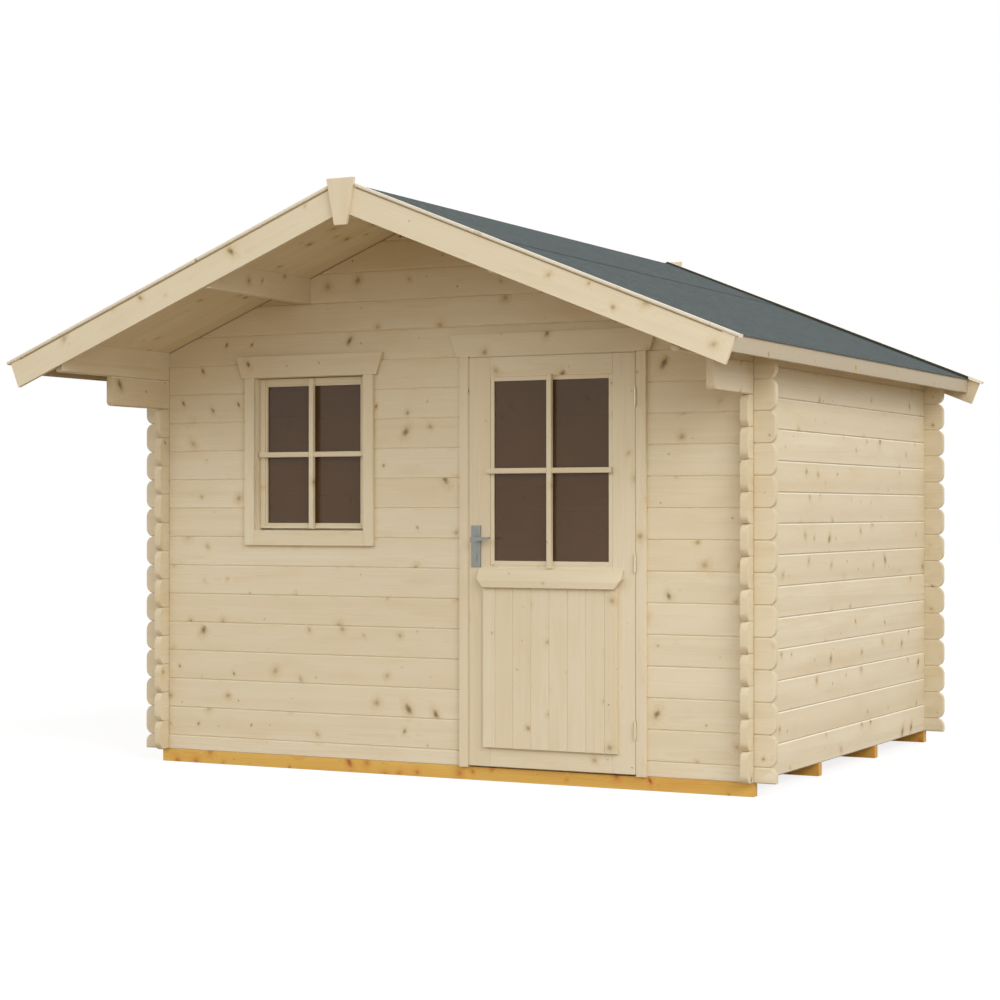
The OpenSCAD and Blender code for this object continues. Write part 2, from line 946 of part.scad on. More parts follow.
// Two stiles, three rails, the panel between them and the bead around the glass
module door_leaf() {
    core_y = leaf_y0 + (leaf_t - core_t) / 2;
    mid_rail_foot = light_z0 - mid_rail_h;
    bottom_rail_top = leaf_z0 + bottom_rail_h;
    color(pale_spruce)
    on_front() {
        difference() {
            block([leaf_x0, leaf_y0, leaf_z0], [light_x0 - seat, leaf_y1, leaf_z1]);
            spindle_hole();
        }
        block([light_x1 + seat, leaf_y0, leaf_z0], [leaf_x1, leaf_y1, leaf_z1]);
        block([light_x0, leaf_y0, light_z1], [light_x1, leaf_y1, leaf_z1]);
        block([light_x0, leaf_y0, mid_rail_foot], [light_x1, leaf_y1, light_z0]);
        block([light_x0, leaf_y0, leaf_z0], [light_x1, leaf_y1, bottom_rail_top]);
        block([light_x0, core_y, bottom_rail_top + seat], [light_x1, core_y + core_t, mid_rail_foot - seat]);
        door_bead();
    }
}

module spindle_hole() {
    clear = 4;
    translate([plate_x, leaf_y0 - past, lever_axis_z])
    rotate([-90, 0, 0])
    cylinder(r = spindle_r + clear, h = leaf_t + 2 * past);
}

// Bead of four members between two outer corners, with a groove for the glass
module glazing_bead(a, b, w, glass_y) {
    groove = w - glass_in - seat;
    difference() {
        frame_members(a, b, w, w, w, w, b[1], 0);
        block(
            [a[0] + groove, glass_y - seat, a[2] + groove],
            [b[0] - groove, glass_y + glass_t + seat, b[2] - groove]
        );
    }
}

module door_bead() {
    glazing_bead(
        [light_x0 + seat, leaf_y0 + bead_back, light_z0 + seat],
        [light_x1 - seat, leaf_y0 + bead_back + bead_d, light_z1 - seat],
        bead_w, door_glass_y
    );
}

module door_glass() {
    inset = seat + bead_w - glass_in;
    color(glass_colour, 0.6)
    on_front()
    block(
        [light_x0 + inset, door_glass_y, light_z0 + inset],
        [light_x1 - inset, door_glass_y + glass_t, light_z1 - inset]
    );
}

module door_boarding() {
    z0 = leaf_z0 + boarding_z;
    color(pale_spruce)
    on_front()
    block(
        [leaf_mid_x - boarding_w / 2, leaf_y0 - boarding_t, z0],
        [leaf_mid_x + boarding_w / 2, leaf_y0 - seat, z0 + boarding_h]
    );
}

module door_drip_board() {
    z0 = leaf_z0 + boarding_z + boarding_h + seat;
    z1 = z0 + drip_h;
    x0 = leaf_mid_x - drip_w / 2;
    x1 = leaf_mid_x + drip_w / 2;
    w = drip_cut_w;
    h = drip_cut_h;
    color(pale_spruce)
    on_front()
    intersection() {
        run_across(x0 - past, x1 + past)
        polygon([
            [leaf_y0 - seat, z0], [leaf_y0 - seat, z1], [leaf_y0 - drip_top_d, z1],
            [leaf_y0 - drip_d, z0 + drip_face_h], [leaf_y0 - drip_d, z0]
        ]);
        run_back(leaf_y0 - drip_d - past, leaf_y0)
        polygon([
            [x0 + w, z0], [x1 - w, z0], [x1, z0 + h], [x1, z1], [x0, z1], [x0, z0 + h]
        ]);
    }
}

// A knuckle from the hinge line, with its plate beside x
module hinge_half(z0, z1, plate_x0) {
    translate([0, 0, z0])
    cylinder(r = knuckle_r, h = z1 - z0);
    block([plate_x0, 0, z0], [plate_x0 + hinge_plate_t, hinge_plate_d, z1]);
}

module at_hinges() {
    on_front()
    for (z = hinge_zs)
    translate([hinge_x, hinge_y, z])
    children();
}

module hinge_pins() {
    plate_x0 = door_gap / 2 - seat - hinge_plate_t;
    color(zinc)
    at_hinges() {
        hinge_half(-knuckle_h, -seat / 2, plate_x0);
        translate([0, 0, -past])
        cylinder(r = hinge_pin_r, h = knuckle_h + 2 * past);
    }
}

module hinge_sleeves() {
    plate_x0 = seat - door_gap / 2;
    color(zinc)
    at_hinges()
    difference() {
        hinge_half(seat / 2, knuckle_h, plate_x0);
        translate([0, 0, -past])
        cylinder(r = hinge_pin_r + running, h = knuckle_h + 3 * past);
    }
}

module handle_plate() {
    difference() {
        block([-plate_w / 2, 0, -lever_z], [plate_w / 2, plate_t, plate_h - lever_z]);
        translate([0, -past, 0])
        rotate([-90, 0, 0])
        cylinder(r = neck_r + running, h = plate_t + 2 * past);
    }
}

module handle_plates() {
    color(steel)
    on_front()
    for (y = [leaf_y0 - seat - plate_t, leaf_y1 + seat])
    translate([plate_x, y, lever_axis_z])
    handle_plate();
}

// Lever on the side y0: the neck runs from the leaf's face, the grip points to the hinges
module lever_side(sign) {
    length = plate_t + lever_stand + lever_t;
    rotate([sign * 90, 0, 0])
    cylinder(r = neck_r, h = length);
    grip_y = sign * -(length - lever_t / 2);
    run_back(grip_y - lever_t / 2, grip_y + lever_t / 2)
    polygon([
        [-neck_r, -lever_h / 2], [neck_r, -lever_h / 2],
        [lever_l, lever_h / 2 - lever_tip_h], [lever_l, lever_h / 2], [-neck_r, lever_h / 2]
    ]);
}

module door_lever() {
    color(steel)
    on_front()
    translate([plate_x, 0, lever_axis_z]) {
        translate([0, leaf_y0 - seat, 0])
        lever_side(1);
        translate([0, leaf_y1 + seat, 0])
        lever_side(-1);
        translate([0, leaf_y0 - seat - past, 0])
        rotate([-90, 0, 0])
        cylinder(r = spindle_r, h = leaf_t + 2 * seat + 2 * past);
    }
}

module window_frame() {
    w = window_jamb_w + window_jamb_in;
    a = [window_x0 - window_jamb_w, seat, window_z0 - window_jamb_w];
    b = [window_x1 + window_jamb_w, window_frame_d, window_z1 + window_jamb_w];
    color(pale_spruce)
    on_front()
    frame_members(a, b, w, w, w, w, sash_back + sash_t + seat, window_stop_w);
}

// Two stiles and two rails with the bead around the glass
module window_sash() {
    w = window_bead_w;
    y = sash_back + window_bead_back;
    stile = sash_stile_w - w - seat;
    foot = sash_foot_h - w - seat;
    head = sash_head_h - w - seat;
    inside_y = sash_back + sash_t;
    color(pale_spruce)
    on_front() {
        frame_members(
            [sash_x0, sash_back, sash_z0], [sash_x1, inside_y, sash_z1],
            stile, stile, foot, head, inside_y, 0
        );
        glazing_bead(
            [pane_x0 - w, y, pane_z0 - w], [pane_x1 + w, y + bead_d, pane_z1 + w],
            w, window_glass_y
        );
    }
}

module window_glass() {
    color(glass_colour, 0.6)
    on_front()
    block(
        [pane_x0 - glass_in, window_glass_y, pane_z0 - glass_in],
        [pane_x1 + glass_in, window_glass_y + glass_t, pane_z1 + glass_in]
    );
}

front_floor_beam();
second_floor_beam();
third_floor_beam();
back_floor_beam();
floor_boards();
left_wall_logs();
right_wall_logs();
front_wall_left_logs();
front_wall_right_logs();
front_gable_logs();
back_wall_logs();
back_gable_logs();
left_purlin();
right_purlin();
ridge_purlin();
left_roof_boards();
right_roof_boards();
left_roof_felt();
right_roof_felt();
ridge_felt();
front_left_barge_board();
front_right_barge_board();
rear_left_barge_board();
rear_right_barge_board();
front_cover_battens();
rear_cover_battens();
front_peak_board();
rear_peak_board();
left_eave_board();
right_eave_board();
door_frame();
door_trims();
inner_trims();
door_leaf();
door_boarding();
door_drip_board();
door_glass();
hinge_pins();
hinge_sleeves();
handle_plates();
door_lever();
window_frame();
window_sash();
window_glass();
window_trims();
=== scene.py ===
"""Looks of a small spruce guest cabin around its CAD frame: timber with its grain and knots,
glazing bars, panes, roofing felt, ironmongery and a plain studio. Lengths are in metres."""
import json
import math
import random

import bmesh
import bpy
from mathutils import Matrix, Vector

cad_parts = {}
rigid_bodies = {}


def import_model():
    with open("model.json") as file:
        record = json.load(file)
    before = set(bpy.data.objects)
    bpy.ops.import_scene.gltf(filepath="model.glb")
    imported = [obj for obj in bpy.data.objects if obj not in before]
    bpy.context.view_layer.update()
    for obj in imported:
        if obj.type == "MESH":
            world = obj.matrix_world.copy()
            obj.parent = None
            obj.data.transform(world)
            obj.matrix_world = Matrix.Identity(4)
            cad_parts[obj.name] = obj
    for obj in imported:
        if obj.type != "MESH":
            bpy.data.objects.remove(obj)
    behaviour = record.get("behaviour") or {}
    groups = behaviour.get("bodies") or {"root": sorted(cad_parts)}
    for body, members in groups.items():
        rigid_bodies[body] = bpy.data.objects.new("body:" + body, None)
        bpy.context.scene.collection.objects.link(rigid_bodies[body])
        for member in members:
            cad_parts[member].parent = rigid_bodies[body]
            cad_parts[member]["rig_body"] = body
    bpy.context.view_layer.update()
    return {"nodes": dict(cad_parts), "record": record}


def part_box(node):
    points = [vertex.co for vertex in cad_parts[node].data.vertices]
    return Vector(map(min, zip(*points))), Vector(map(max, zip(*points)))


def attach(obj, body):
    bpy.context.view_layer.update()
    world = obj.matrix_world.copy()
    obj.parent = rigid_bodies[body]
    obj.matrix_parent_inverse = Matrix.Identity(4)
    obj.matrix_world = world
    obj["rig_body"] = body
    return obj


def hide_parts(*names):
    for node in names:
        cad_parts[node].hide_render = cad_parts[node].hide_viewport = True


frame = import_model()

bl_info = {
    "name": "Log cabin looks",
    "version": (1, 0, 0),
    "blender": (4, 5, 0),
    "location": "3D View > Sidebar > Cabin",
    "description": "Finishes a small log cabin: timber, glazing bars, panes, felt and ironmongery",
    "category": "Object",
}

MM = 0.001
X = Vector((1, 0, 0))
Y = Vector((0, 1, 0))
Z = Vector((0, 0, 1))
WHITE = (1, 1, 1)
HAIR = 0.1 * MM  # the least gap or tolerance that counts

# How the "rim" attribute of a face paints light into its wood: a painted highlight above 0,
# painted shade below it, and deep painted shade at the bottom.
PAINTED_HIGHLIGHT = 1.0
HALF_PAINTED_HIGHLIGHT = 0.75
HALF_PAINTED_SHADE = -0.75
PAINTED_SHADE = -1.0
DEEP_PAINTED_SHADE = -2.0


# ---------------------------------------------------------------- settings


def shade(red, green, blue):
    """The linear colour that a shader takes, from one as a screen shows it, 0 to 255 a channel."""
    return tuple(
        c / 3294.6 if c <= 10.3 else ((c / 255 + 0.055) / 1.055) ** 2.4
        for c in (red, green, blue)
    )


def length(name, description, default):
    """A length in metres, for the sidebar."""
    return bpy.props.FloatProperty(
        name=name,
        description=description,
        default=default,
        min=0,
        unit="LENGTH",
        subtype="DISTANCE",
        precision=4,
    )


def factor(name, description, default, top=1.0):
    """A plain number from 0 upwards, for the sidebar."""
    return bpy.props.FloatProperty(
        name=name, description=description, default=default, min=0, max=top
    )


def colour(name, description, default):
    """A colour for the sidebar."""
    return bpy.props.FloatVectorProperty(
        name=name,
        description=description,
        default=default,
        size=3,
        min=0,
        max=1,
        subtype="COLOR",
    )


class CabinTimberSettings(bpy.types.PropertyGroup):
    """Sizes and colours of the planed timber."""

    arris: length("Arris", "How far a machined edge is eased", 1.2 * MM)
    board_width: length("Board width", "Cover width of a floor, roof or door board", 88 * MM)
    board_gap: length("Board gap", "Space between two boards laid side by side", 0.3 * MM)
    board_vee: length("Board V", "Chamfer along the edges of a door board", 2.5 * MM)
    # The corner and roof seams are strips of painted shade.
    corner_seam: length("Corner seam", "Width of the shaded seam beside a crossed log", 4 * MM)
    roof_seam: length("Roof seam", "Height of the shaded seam under the roof boards", 6 * MM)
    ring: length("Growth ring", "Mean width of one year's growth", 4.2 * MM)
    knot_cell: length("Knot spacing", "Mean distance between knots", 158 * MM)
    log_pale: colour("Log, early wood", "Pale wood of the wall logs", shade(226, 215, 189))
    log_late: colour("Log, late wood", "Darker wood of the wall logs", shade(209, 189, 150))
    board_pale: colour("Board, early wood", "Pale wood of the joinery", shade(225, 214, 187))
    board_late: colour("Board, late wood", "Darker wood of the joinery", shade(209, 188, 150))
    knot: colour("Knot", "Heart of a knot", shade(108, 83, 54))
    halo: colour("Knot halo", "Resinous wood round a knot", shade(202, 175, 121))
    treated_pale: colour("Treated, early wood", "Pale wood of the beams", shade(220, 180, 91))
    treated_late: colour("Treated, late wood", "Darker wood of the beams", shade(200, 146, 61))
    treated_knot: colour("Treated knot", "Knots of the beams", shade(158, 78, 26))
    treated_halo: colour("Treated halo", "Wood round the beams' knots", shade(204, 130, 56))
    # Painted highlight: the pale colour that up-facing chamfers take where light from above would
    # brighten them.
    planed_edge: colour("Planed edge", "Fresh edges of logs and boards", shade(252, 246, 228))
    # Painted highlight: the cover battens take a paler copy of the board wood.
    batten_pale: colour("Batten", "Pale wood of the cover battens", shade(248, 240, 220))
    batten_nose: length("Batten nose", "Rounding under the outer edge of a cover batten", 8 * MM)
    # Painted shade: the eave boards take a darker, greyer copy of the board wood.
    eave_pale: colour("Eave, early wood", "Pale wood of the eave boards", shade(191, 179, 157))
    eave_late: colour("Eave, late wood", "Darker wood of the eave boards", shade(177, 161, 134))


class CabinGlazingSettings(bpy.types.PropertyGroup):
    """Sizes of the glazing bars and the look of the panes."""

    bar_width: length("Bar width", "Width of a glazing bar", 24 * MM)
    bar_depth: length("Bar depth", "Depth of a glazing bar", 20 * MM)
    bar_round: length("Bar rounding", "Rounding of a glazing bar's front edges", 4 * MM)
    strip_back: length("Strip set back", "Set back of the strips round the door leaf", 2.5 * MM)
    # The pane's brown is partly a bronze tint and partly painted shade of the dim room behind the
    # glass.
    pane: colour("Pane", "Bronze tint of the glass", shade(104, 78, 50))


class CabinRoofSettings(bpy.types.PropertyGroup):
    """Folds and colours of the mineral felt."""

    felt_fold: length("Felt fold", "Height of the felt folded over a barge board", 4.4 * MM)
    felt_fold_t: length("Fold thickness", "Thickness of the folded felt", 1.6 * MM)
    granule: colour("Granule", "Mineral granules of the felt", shade(100, 113, 113))
    granule_dark: colour("Dark granule", "Darker granules of the felt", shade(66, 76, 76))
    granule_pale: colour("Pale granule", "Paler granules of the felt", shade(132, 144, 142))
    # Painted shade: the upstands take the felt's colour as it looks in shade, and the folds a
    # brown that paints the shadow line under the battens.
    felt_edge: colour("Felt edge", "Felt turned up at the battens", shade(62, 61, 48))
    felt_fold_shade: colour("Folded felt", "Felt on the barge boards", shade(158, 142, 108))
    bitumen: colour("Bitumen", "Bitumen between the granules", shade(40, 43, 43))


class CabinMetalSettings(bpy.types.PropertyGroup):
    """Colours and small sizes of the ironmongery."""

    handle: colour("Handle", "Satin metal of the handle", shade(145, 146, 141))
    hinge: colour("Hinge", "Zinc plating of the hinges", shade(214, 200, 170))
    lock_r: length("Lock cylinder", "Radius of the lock cylinder's face", 8.5 * MM)
    lock_z: length("Lock height", "Height of the lock cylinder above the plate's foot", 51 * MM)


class CabinStageSettings(bpy.types.PropertyGroup):
    """The plain studio."""

    floor: colour("Floor", "Plain pale floor", shade(168, 146, 116))
    sky: factor("Sky light", "Strength of the soft light from all round, low down", 1.34, 5)
    zenith: factor("Zenith light", "Strength of the soft light from above", 0.15, 5)
    key: factor("Key light", "Strength of the distant lamp on the right", 1.0, 20)
    fill: factor("Fill light", "Strength of the distant lamp in front", 0.20, 20)
    near: factor("Near light", "Watts of the wide lamp beside the front corner", 27, 1000)
    near_size: length("Near light size", "Diameter of the wide lamp", 3)
    lens: length("Lens", "Focal length of the camera", 80 * MM)


# ---------------------------------------------------------------- shader graph


class Value:
    """A shader socket that takes part in Python arithmetic: each operator adds a Math node."""

    def __init__(self, graph, socket):
        self.graph = graph
        self.socket = socket

    def __getitem__(self, name):
        """Another output of the same node."""
        return Value(self.graph, self.socket.node.outputs[name])

    def _math(self, operation, first, second):
        return self.graph.node(
            "ShaderNodeMath", {"operation": operation}, {0: first, 1: second}
        )

    def __add__(self, other):
        return self._math("ADD", self, other)

    def __radd__(self, other):
        return self._math("ADD", other, self)

    def __sub__(self, other):
        return self._math("SUBTRACT", self, other)

    def __rsub__(self, other):
        return self._math("SUBTRACT", other, self)

    def __mul__(self, other):
        return self._math("MULTIPLY", self, other)

    def __rmul__(self, other):
        return self._math("MULTIPLY", other, self)

    def __truediv__(self, other):
        return self._math("DIVIDE", self, other)

    def __pow__(self, other):
        return self._math("POWER", self, other)


class Graph:
    """The nodes of one material, or of the world."""

    def __init__(self, owner):
        self.owner = owner
        owner.use_nodes = True
        self.tree = owner.node_tree
        self.tree.nodes.clear()

    def node(self, kind, settings=None, inputs=None, output=0):
        """Any node: its type, then its settings, then its sockets' values or links."""
        node = self.tree.nodes.new(kind)
        for key, value in (settings or {}).items():
            setattr(node, key, value)
        for key, value in (inputs or {}).items():
            if isinstance(value, Value):
                self.tree.links.new(value.socket, node.inputs[key])
            elif hasattr(value, "__len__") and node.inputs[key].type == "RGBA":
                node.inputs[key].default_value = (*value, 1)[:4]
            else:
                node.inputs[key].default_value = value
        return Value(self, node.outputs[output]) if node.outputs else None

    def attribute(self, name, output="Vector"):
        return self.node("ShaderNodeAttribute", {"attribute_name": name}, output=output)

    def parts(self, vector):
        """The three numbers of a vector or colour."""
        split = self.node("ShaderNodeSeparateXYZ", inputs={0: vector})
        return split, split["Y"], split["Z"]

    def vector(self, x, y, z):
        return self.node("ShaderNodeCombineXYZ", inputs={0: x, 1: y, 2: z})

    def rise(self, value, low, high):
        """0 under low, 1 over high, smooth between them."""
        return self.node(
            "ShaderNodeMapRange",
            {"interpolation_type": "SMOOTHSTEP"},
            {"Value": value, "From Min": low, "From Max": high},
        )

    def noise(self, vector, scale, detail=2.0, rough=0.5):
        return self.node(
            "ShaderNodeTexNoise",
            {"noise_dimensions": "3D"},
            {"Vector": vector, "Scale": scale, "Detail": detail, "Roughness": rough},
        )

    def mix(self, share, first, second):
        """A colour between two colours."""
        return self.node(
            "ShaderNodeMix",
            {"data_type": "RGBA"},
            {0: share, 6: first, 7: second},
            output=2,
        )

    def blend(self, share, first, second, output):
        """Ends the graph with a surface between two others."""
        surface = self.node("ShaderNodeMixShader", inputs={0: share, 1: first, 2: second})
        self.node(output, inputs={"Surface": surface})
        return self.owner

    def looked_at(self):
        """1 for the camera, a reflection or a look through glass, and 0 for the light."""
        path = self.node("ShaderNodeLightPath")
        looks = path["Is Camera Ray"] + path["Is Glossy Ray"] + path["Is Transmission Ray"]
        return self.rise(looks, 0.0, 1.0)

    def close(self, inputs, height=None, depth=1 * MM, strength=1.0):
        """Ends the graph with a Principled surface, and a bump where a height is given."""
        if height is not None:
            inputs = dict(inputs)
            inputs["Normal"] = self.node(
                "ShaderNodeBump",
                inputs={"Strength": strength, "Distance": depth, "Height": height},
            )
        surface = self.node("ShaderNodeBsdfPrincipled", inputs=inputs)
        self.node("ShaderNodeOutputMaterial", inputs={"Surface": surface})
        return self.owner


def dimmed(shown, share):
    """A darker shade of a colour."""
    return tuple(share * c for c in shown)


def spruce(
    name, pale, late, knot, halo, edge, knot_size, contrast, warmth, rare=0.3, spread=1.0
):
    """Planed softwood: growth rings round a pith beside the piece, faint streaks, and knots."""
    look = bpy.context.scene.cabin_timber
    knot_cell = look.knot_cell * spread
    g = Graph(bpy.data.materials.new(name))

    # Where the point is in its own piece of wood, which lay_grain() writes.
    along, across, depth = g.parts(g.attribute("grain"))
    tone, pith_across, pith_depth = g.parts(g.attribute("piece"))
    end = g.attribute("end_grain", "Fac")
    rim = g.attribute("rim", "Fac")
    place = g.vector(along * 1.3, across * 9 + tone * 31, depth * 9)
    drift = g.noise(place, 1.0, 2.0)
    wander = g.noise(g.vector(along * 0.55, tone * 19, 0), 1.0, 1.0)

    # Knots: at most one to a cell. They lean, and are stretched along the piece.
    at_along = along / knot_cell
    at_across = across / knot_cell + tone * 57
    spots = g.node(
        "ShaderNodeTexVoronoi",
        {"voronoi_dimensions": "2D", "feature": "F1"},
        {"Vector": g.vector(at_along, at_across, 0), "Scale": 1.0, "Randomness": 1.0},
    )
    size, presence, kind = g.parts(spots["Color"])
    heart_along, heart_across = g.parts(spots["Position"])[:2]
    off_across = (at_across - heart_across) * knot_cell
    off_along = (at_along - heart_along) * knot_cell + off_across * (kind - 0.5) * 0.9
    off_across = off_across / (1 + 0.5 * g.rise(kind, 0.55, 1.0))
    ragged = g.noise(g.vector(along * 70, across * 45 + tone * 11, 0), 1.0, 2.0)
    radius = size * size * knot_size + 0.28 * knot_size
    reach = (off_along * off_along + off_across * off_across) ** 0.5
    near = reach * (0.45 + 1.1 * ragged) / radius
    there = g.rise(presence, rare, rare + 0.15) * (1 - end)
    core = (1 - g.rise(near, 0.2, 1.4)) * there
    heart = (1 - g.rise(near, 0.0, 0.8)) * there
    glow = (1 - g.rise(near, 0.5, 3.2)) * there * g.rise(size, 0.1, 0.8)
    swell = (1 - g.rise(near, 0.4, 5.0)) * there

    # Growth rings, which bend round the knots.
    from_side = across - pith_across - (wander - 0.5) * 0.05
    from_face = depth - pith_depth - (wander["Color"] - 0.5) * 0.04
    radial = (from_side * from_side + from_face * from_face) ** 0.5
    count = radial / look.ring + drift * 2.4 + swell * 1.4
    year = g.node("ShaderNodeMath", {"operation": "FRACT"}, {0: count})
    line = g.rise(year, 0.45, 0.92) * (1 - g.rise(year, 0.92, 1.0))

    # Streaks along the grain, from wide to narrow.
    band = g.noise(g.vector(along * 0.5, across * 26 + tone * 43, depth * 26), 1.0, 3.0)
    fibre = g.noise(g.vector(along * 5, across * 420 + tone * 71, depth * 420), 1.0, 2.0)
    patch = g.noise(g.vector(along * 2.6, across * 11 + tone * 13, depth * 11), 1.0, 3.0)
    fleck = g.noise(g.vector(along * 14, across * 55 + tone * 29, depth * 55), 1.0, 2.0)

    ringed = line * (contrast + end * contrast)
    dark = ringed + g.rise(band, 0.45, 0.80) * contrast + (fibre - 0.5) * 0.25 * contrast
    wood = g.mix(dark, pale, late)
    wood = g.mix(g.rise(patch, 0.42, 0.80) * warmth, wood, halo)
    wood = g.mix(g.rise(fleck, 0.60, 0.85) * 0.22, wood, halo)
    wood = g.mix(tone * 0.30, wood, late)
    wood = g.mix(end * 0.12, wood, halo)
    wood = g.mix(glow * 0.45, wood, halo)
    wood = g.mix(core * (0.20 + 0.50 * kind * kind), wood, knot)
    wood = g.mix(heart * (0.16 + 0.44 * kind * kind), wood, dimmed(knot, 0.6))
    # Painted highlight and painted shade from the faces' rim marks: a share of the edge colour
    # where light from above would brighten a chamfer, and of the knot colour where shade falls.
    wood = g.mix(g.rise(rim, 0.5, PAINTED_HIGHLIGHT) * 0.75, wood, edge)
    shaded = g.rise(0 - rim, 0.5, -PAINTED_SHADE) * 0.30 + g.rise(0 - rim, 1.5, -DEEP_PAINTED_SHADE) * 0.25
    wood = g.mix(shaded, wood, knot)
    height = line * 0.35 + fibre * 0.5 - core * 0.6
    return g.close(
        {
            "Base Color": wood,
            "Roughness": 0.58 + 0.14 * fibre - 0.08 * line,
            "Specular IOR Level": 0.35,
        },
        height,
        depth=0.12 * MM,
        strength=0.8,
    )


def mineral_felt(look):
    """Bitumen felt with slate granules."""
    g = Graph(bpy.data.materials.new("mineral_felt"))
    place = g.node("ShaderNodeTexCoord", output="Object")
    grit = g.node(
        "ShaderNodeTexVoronoi",
        {"feature": "F1"},
        {"Vector": place, "Scale": 620.0},
    )
    tint, dark, lift = g.parts(grit["Color"])
    patch = g.noise(place, 7.0, 6.0, 0.75)
    cloud = g.noise(place, 26.0, 4.0, 0.8)
    fine = g.noise(place, 130.0, 3.0, 0.7)
    stone = g.mix(dark, look.granule, look.granule_dark)
    stone = g.mix(g.rise(fine, 0.42, 0.72) * 0.6, stone, look.granule_dark)
    stone = g.mix(g.rise(patch, 0.40, 0.62) * 0.40, stone, look.granule_dark)
    stone = g.mix(g.rise(cloud, 0.45, 0.65) * 0.30, stone, look.granule_pale)
    stone = g.mix(g.rise(grit, 0.45, 0.75) * 0.8, stone, look.bitumen)
    return g.close(
        {"Base Color": stone, "Roughness": 0.82 + 0.12 * tint, "Specular IOR Level": 0.35},
        (1 - grit) * (0.6 + 0.4 * lift) + fine * 0.5,
        depth=0.5 * MM,
        strength=0.7,
    )


def felt_edge(name, shown):
    """The folded and cut edges of the felt, whose colours are painted shade."""
    g = Graph(bpy.data.materials.new(name))
    place = g.node("ShaderNodeTexCoord", output="Object")
    grit = g.noise(place, 240.0, 3.0, 0.7)
    edge = g.mix(g.rise(grit, 0.35, 0.7) * 0.4, shown, dimmed(shown, 0.6))
    return g.close({"Base Color": edge, "Roughness": 0.9}, grit, depth=0.4 * MM)


def satin_metal(name, shown, rough, brush):
    """Satin metal with a faint brushed grain, finest along the axis of the largest number."""
    g = Graph(bpy.data.materials.new(name))
    place = g.node("ShaderNodeTexCoord", output="Object")
    x, y, z = g.parts(place)
    streak = g.noise(g.vector(x * brush[0], y * brush[1], z * brush[2]), 1.0, 2.0)
    cloud = g.noise(place, 30.0, 2.0)
    metal = g.mix(g.rise(cloud, 0.3, 0.8) * 0.25, shown, dimmed(shown, 0.8))
    return g.close(
        {
            "Base Color": metal,
            "Metallic": 0.85,
            "Roughness": rough + 0.12 * streak + 0.06 * cloud,
        },
        streak,
        depth=0.05 * MM,
        strength=0.5,
    )


def float_glass(look):
    """A half see-through pane, brown partly from a bronze tint and partly from painted shade of
    the dim room behind it.
    """
    g = Graph(bpy.data.materials.new("float_glass"))
    place = g.node("ShaderNodeTexCoord", output="Object")
    film = g.noise(place, 3.0, 3.0, 0.6)
    tint = g.mix(g.rise(film, 0.35, 0.75) * 0.35, look.pane, dimmed(look.pane, 0.7))
    return g.close(
        {"Base Color": tint, "Roughness": 0.03 + 0.03 * film, "IOR": 1.5, "Alpha": 0.62}
    )


# ---------------------------------------------------------------- mesh helpers


def cad_shape(node):
    """A CAD node as a bmesh of closed solids with whole flat faces."""
    bm = bmesh.new()
    bm.from_mesh(frame["nodes"][node].data)
    bmesh.ops.remove_doubles(bm, verts=bm.verts, dist=0.01 * MM)
    bmesh.ops.dissolve_limit(
        bm, angle_limit=math.radians(0.4), verts=bm.verts, edges=bm.edges
    )
    return bm


def solids(bm):
    """The closed solids of a bmesh, each as its list of vertices."""
    for parts in (bm.verts, bm.edges, bm.faces):
        parts.index_update()
    seen = set()
    found = []
    for start in bm.verts:
        if start.index in seen:
            continue
        seen.add(start.index)
        group = [start]
        for v in group:
            for e in v.link_edges:
                other = e.other_vert(v)
                if other.index not in seen:
                    seen.add(other.index)
                    group.append(other)
        found.append(group)
    return found


def edges_of(group):
    """The edges of a solid, in a fixed order."""
    return sorted(set(e for v in group for e in v.link_edges), key=lambda e: e.index)


def faces_of(group):
    """The faces of a solid, in a fixed order."""
    return sorted(set(f for v in group for f in v.link_faces), key=lambda f: f.index)


def bevel(bm, edges, width, segments=1):
    """Bevels these edges."""
    bmesh.ops.bevel(
        bm, geom=edges, offset=width, offset_type="OFFSET", affect="EDGES",
        segments=segments, profile=0.5, material=-1, clamp_overlap=True,
    )


def ease(bm, width, segments=2, least=50):
    """Eases the convex edges that turn more than `least` degrees, one solid at a time."""
    for group in solids(bm):
        sharp = [
            e
            for e in edges_of(group)
            if len(e.link_faces) == 2
            and e.is_convex
            and e.calc_face_angle(0) > math.radians(least)
        ]
        if sharp:
            bevel(bm, sharp, width, segments)


def longest(group):
    """The direction of a solid's longest edge."""
    best = max(edges_of(group), key=lambda e: round(e.calc_length(), 6))
    line = (best.verts[1].co - best.verts[0].co).normalized()
    return -line if line.dot(X + 2 * Y + 3 * Z) < 0 else line


# How each piece of wood in a finished piece is laid, in order: + with the normal of its widest
# face towards the right, back or top, and - the other way. The last sign holds for the rest.
# It is set here because a bevel leaves the faces in an order that changes from run to run.
LAID = {
    "back_gable_logs_timber": "----+-",
    "back_wall_logs_timber": "-+--++--++-",
    "door_boarding_timber": "++-++++-",
    "door_drip_board_timber": "+",
    "door_frame_timber": "-++-",
    "door_glazing_bars": "+",
    "door_leaf_timber": "-+-+-+---+",
    "door_trims_timber": "--+",
    "floor_boards_timber": "+",
    "front_cover_battens_timber": "+",
    "front_gable_logs_timber": "++++-+-+",
    "front_wall_left_logs_timber": "+++---++-+-+--+-+-+",
    "front_wall_right_logs_timber": "+--++--++----+",
    "inner_trims_timber": "+--+-",
    "left_roof_boards_timber": "+" * 38 + "-",
    "left_wall_logs_timber": "+--+-----++++-",
    "rear_cover_battens_timber": "+",
    "right_roof_boards_timber": "+" * 38 + "-",
    "right_wall_logs_timber": "--------+++-+",
    "window_frame_timber": "---+",
    "window_glazing_bars": "+",
    "window_sash_timber": "--++-+-",
    "window_trims_timber": "+-",
}
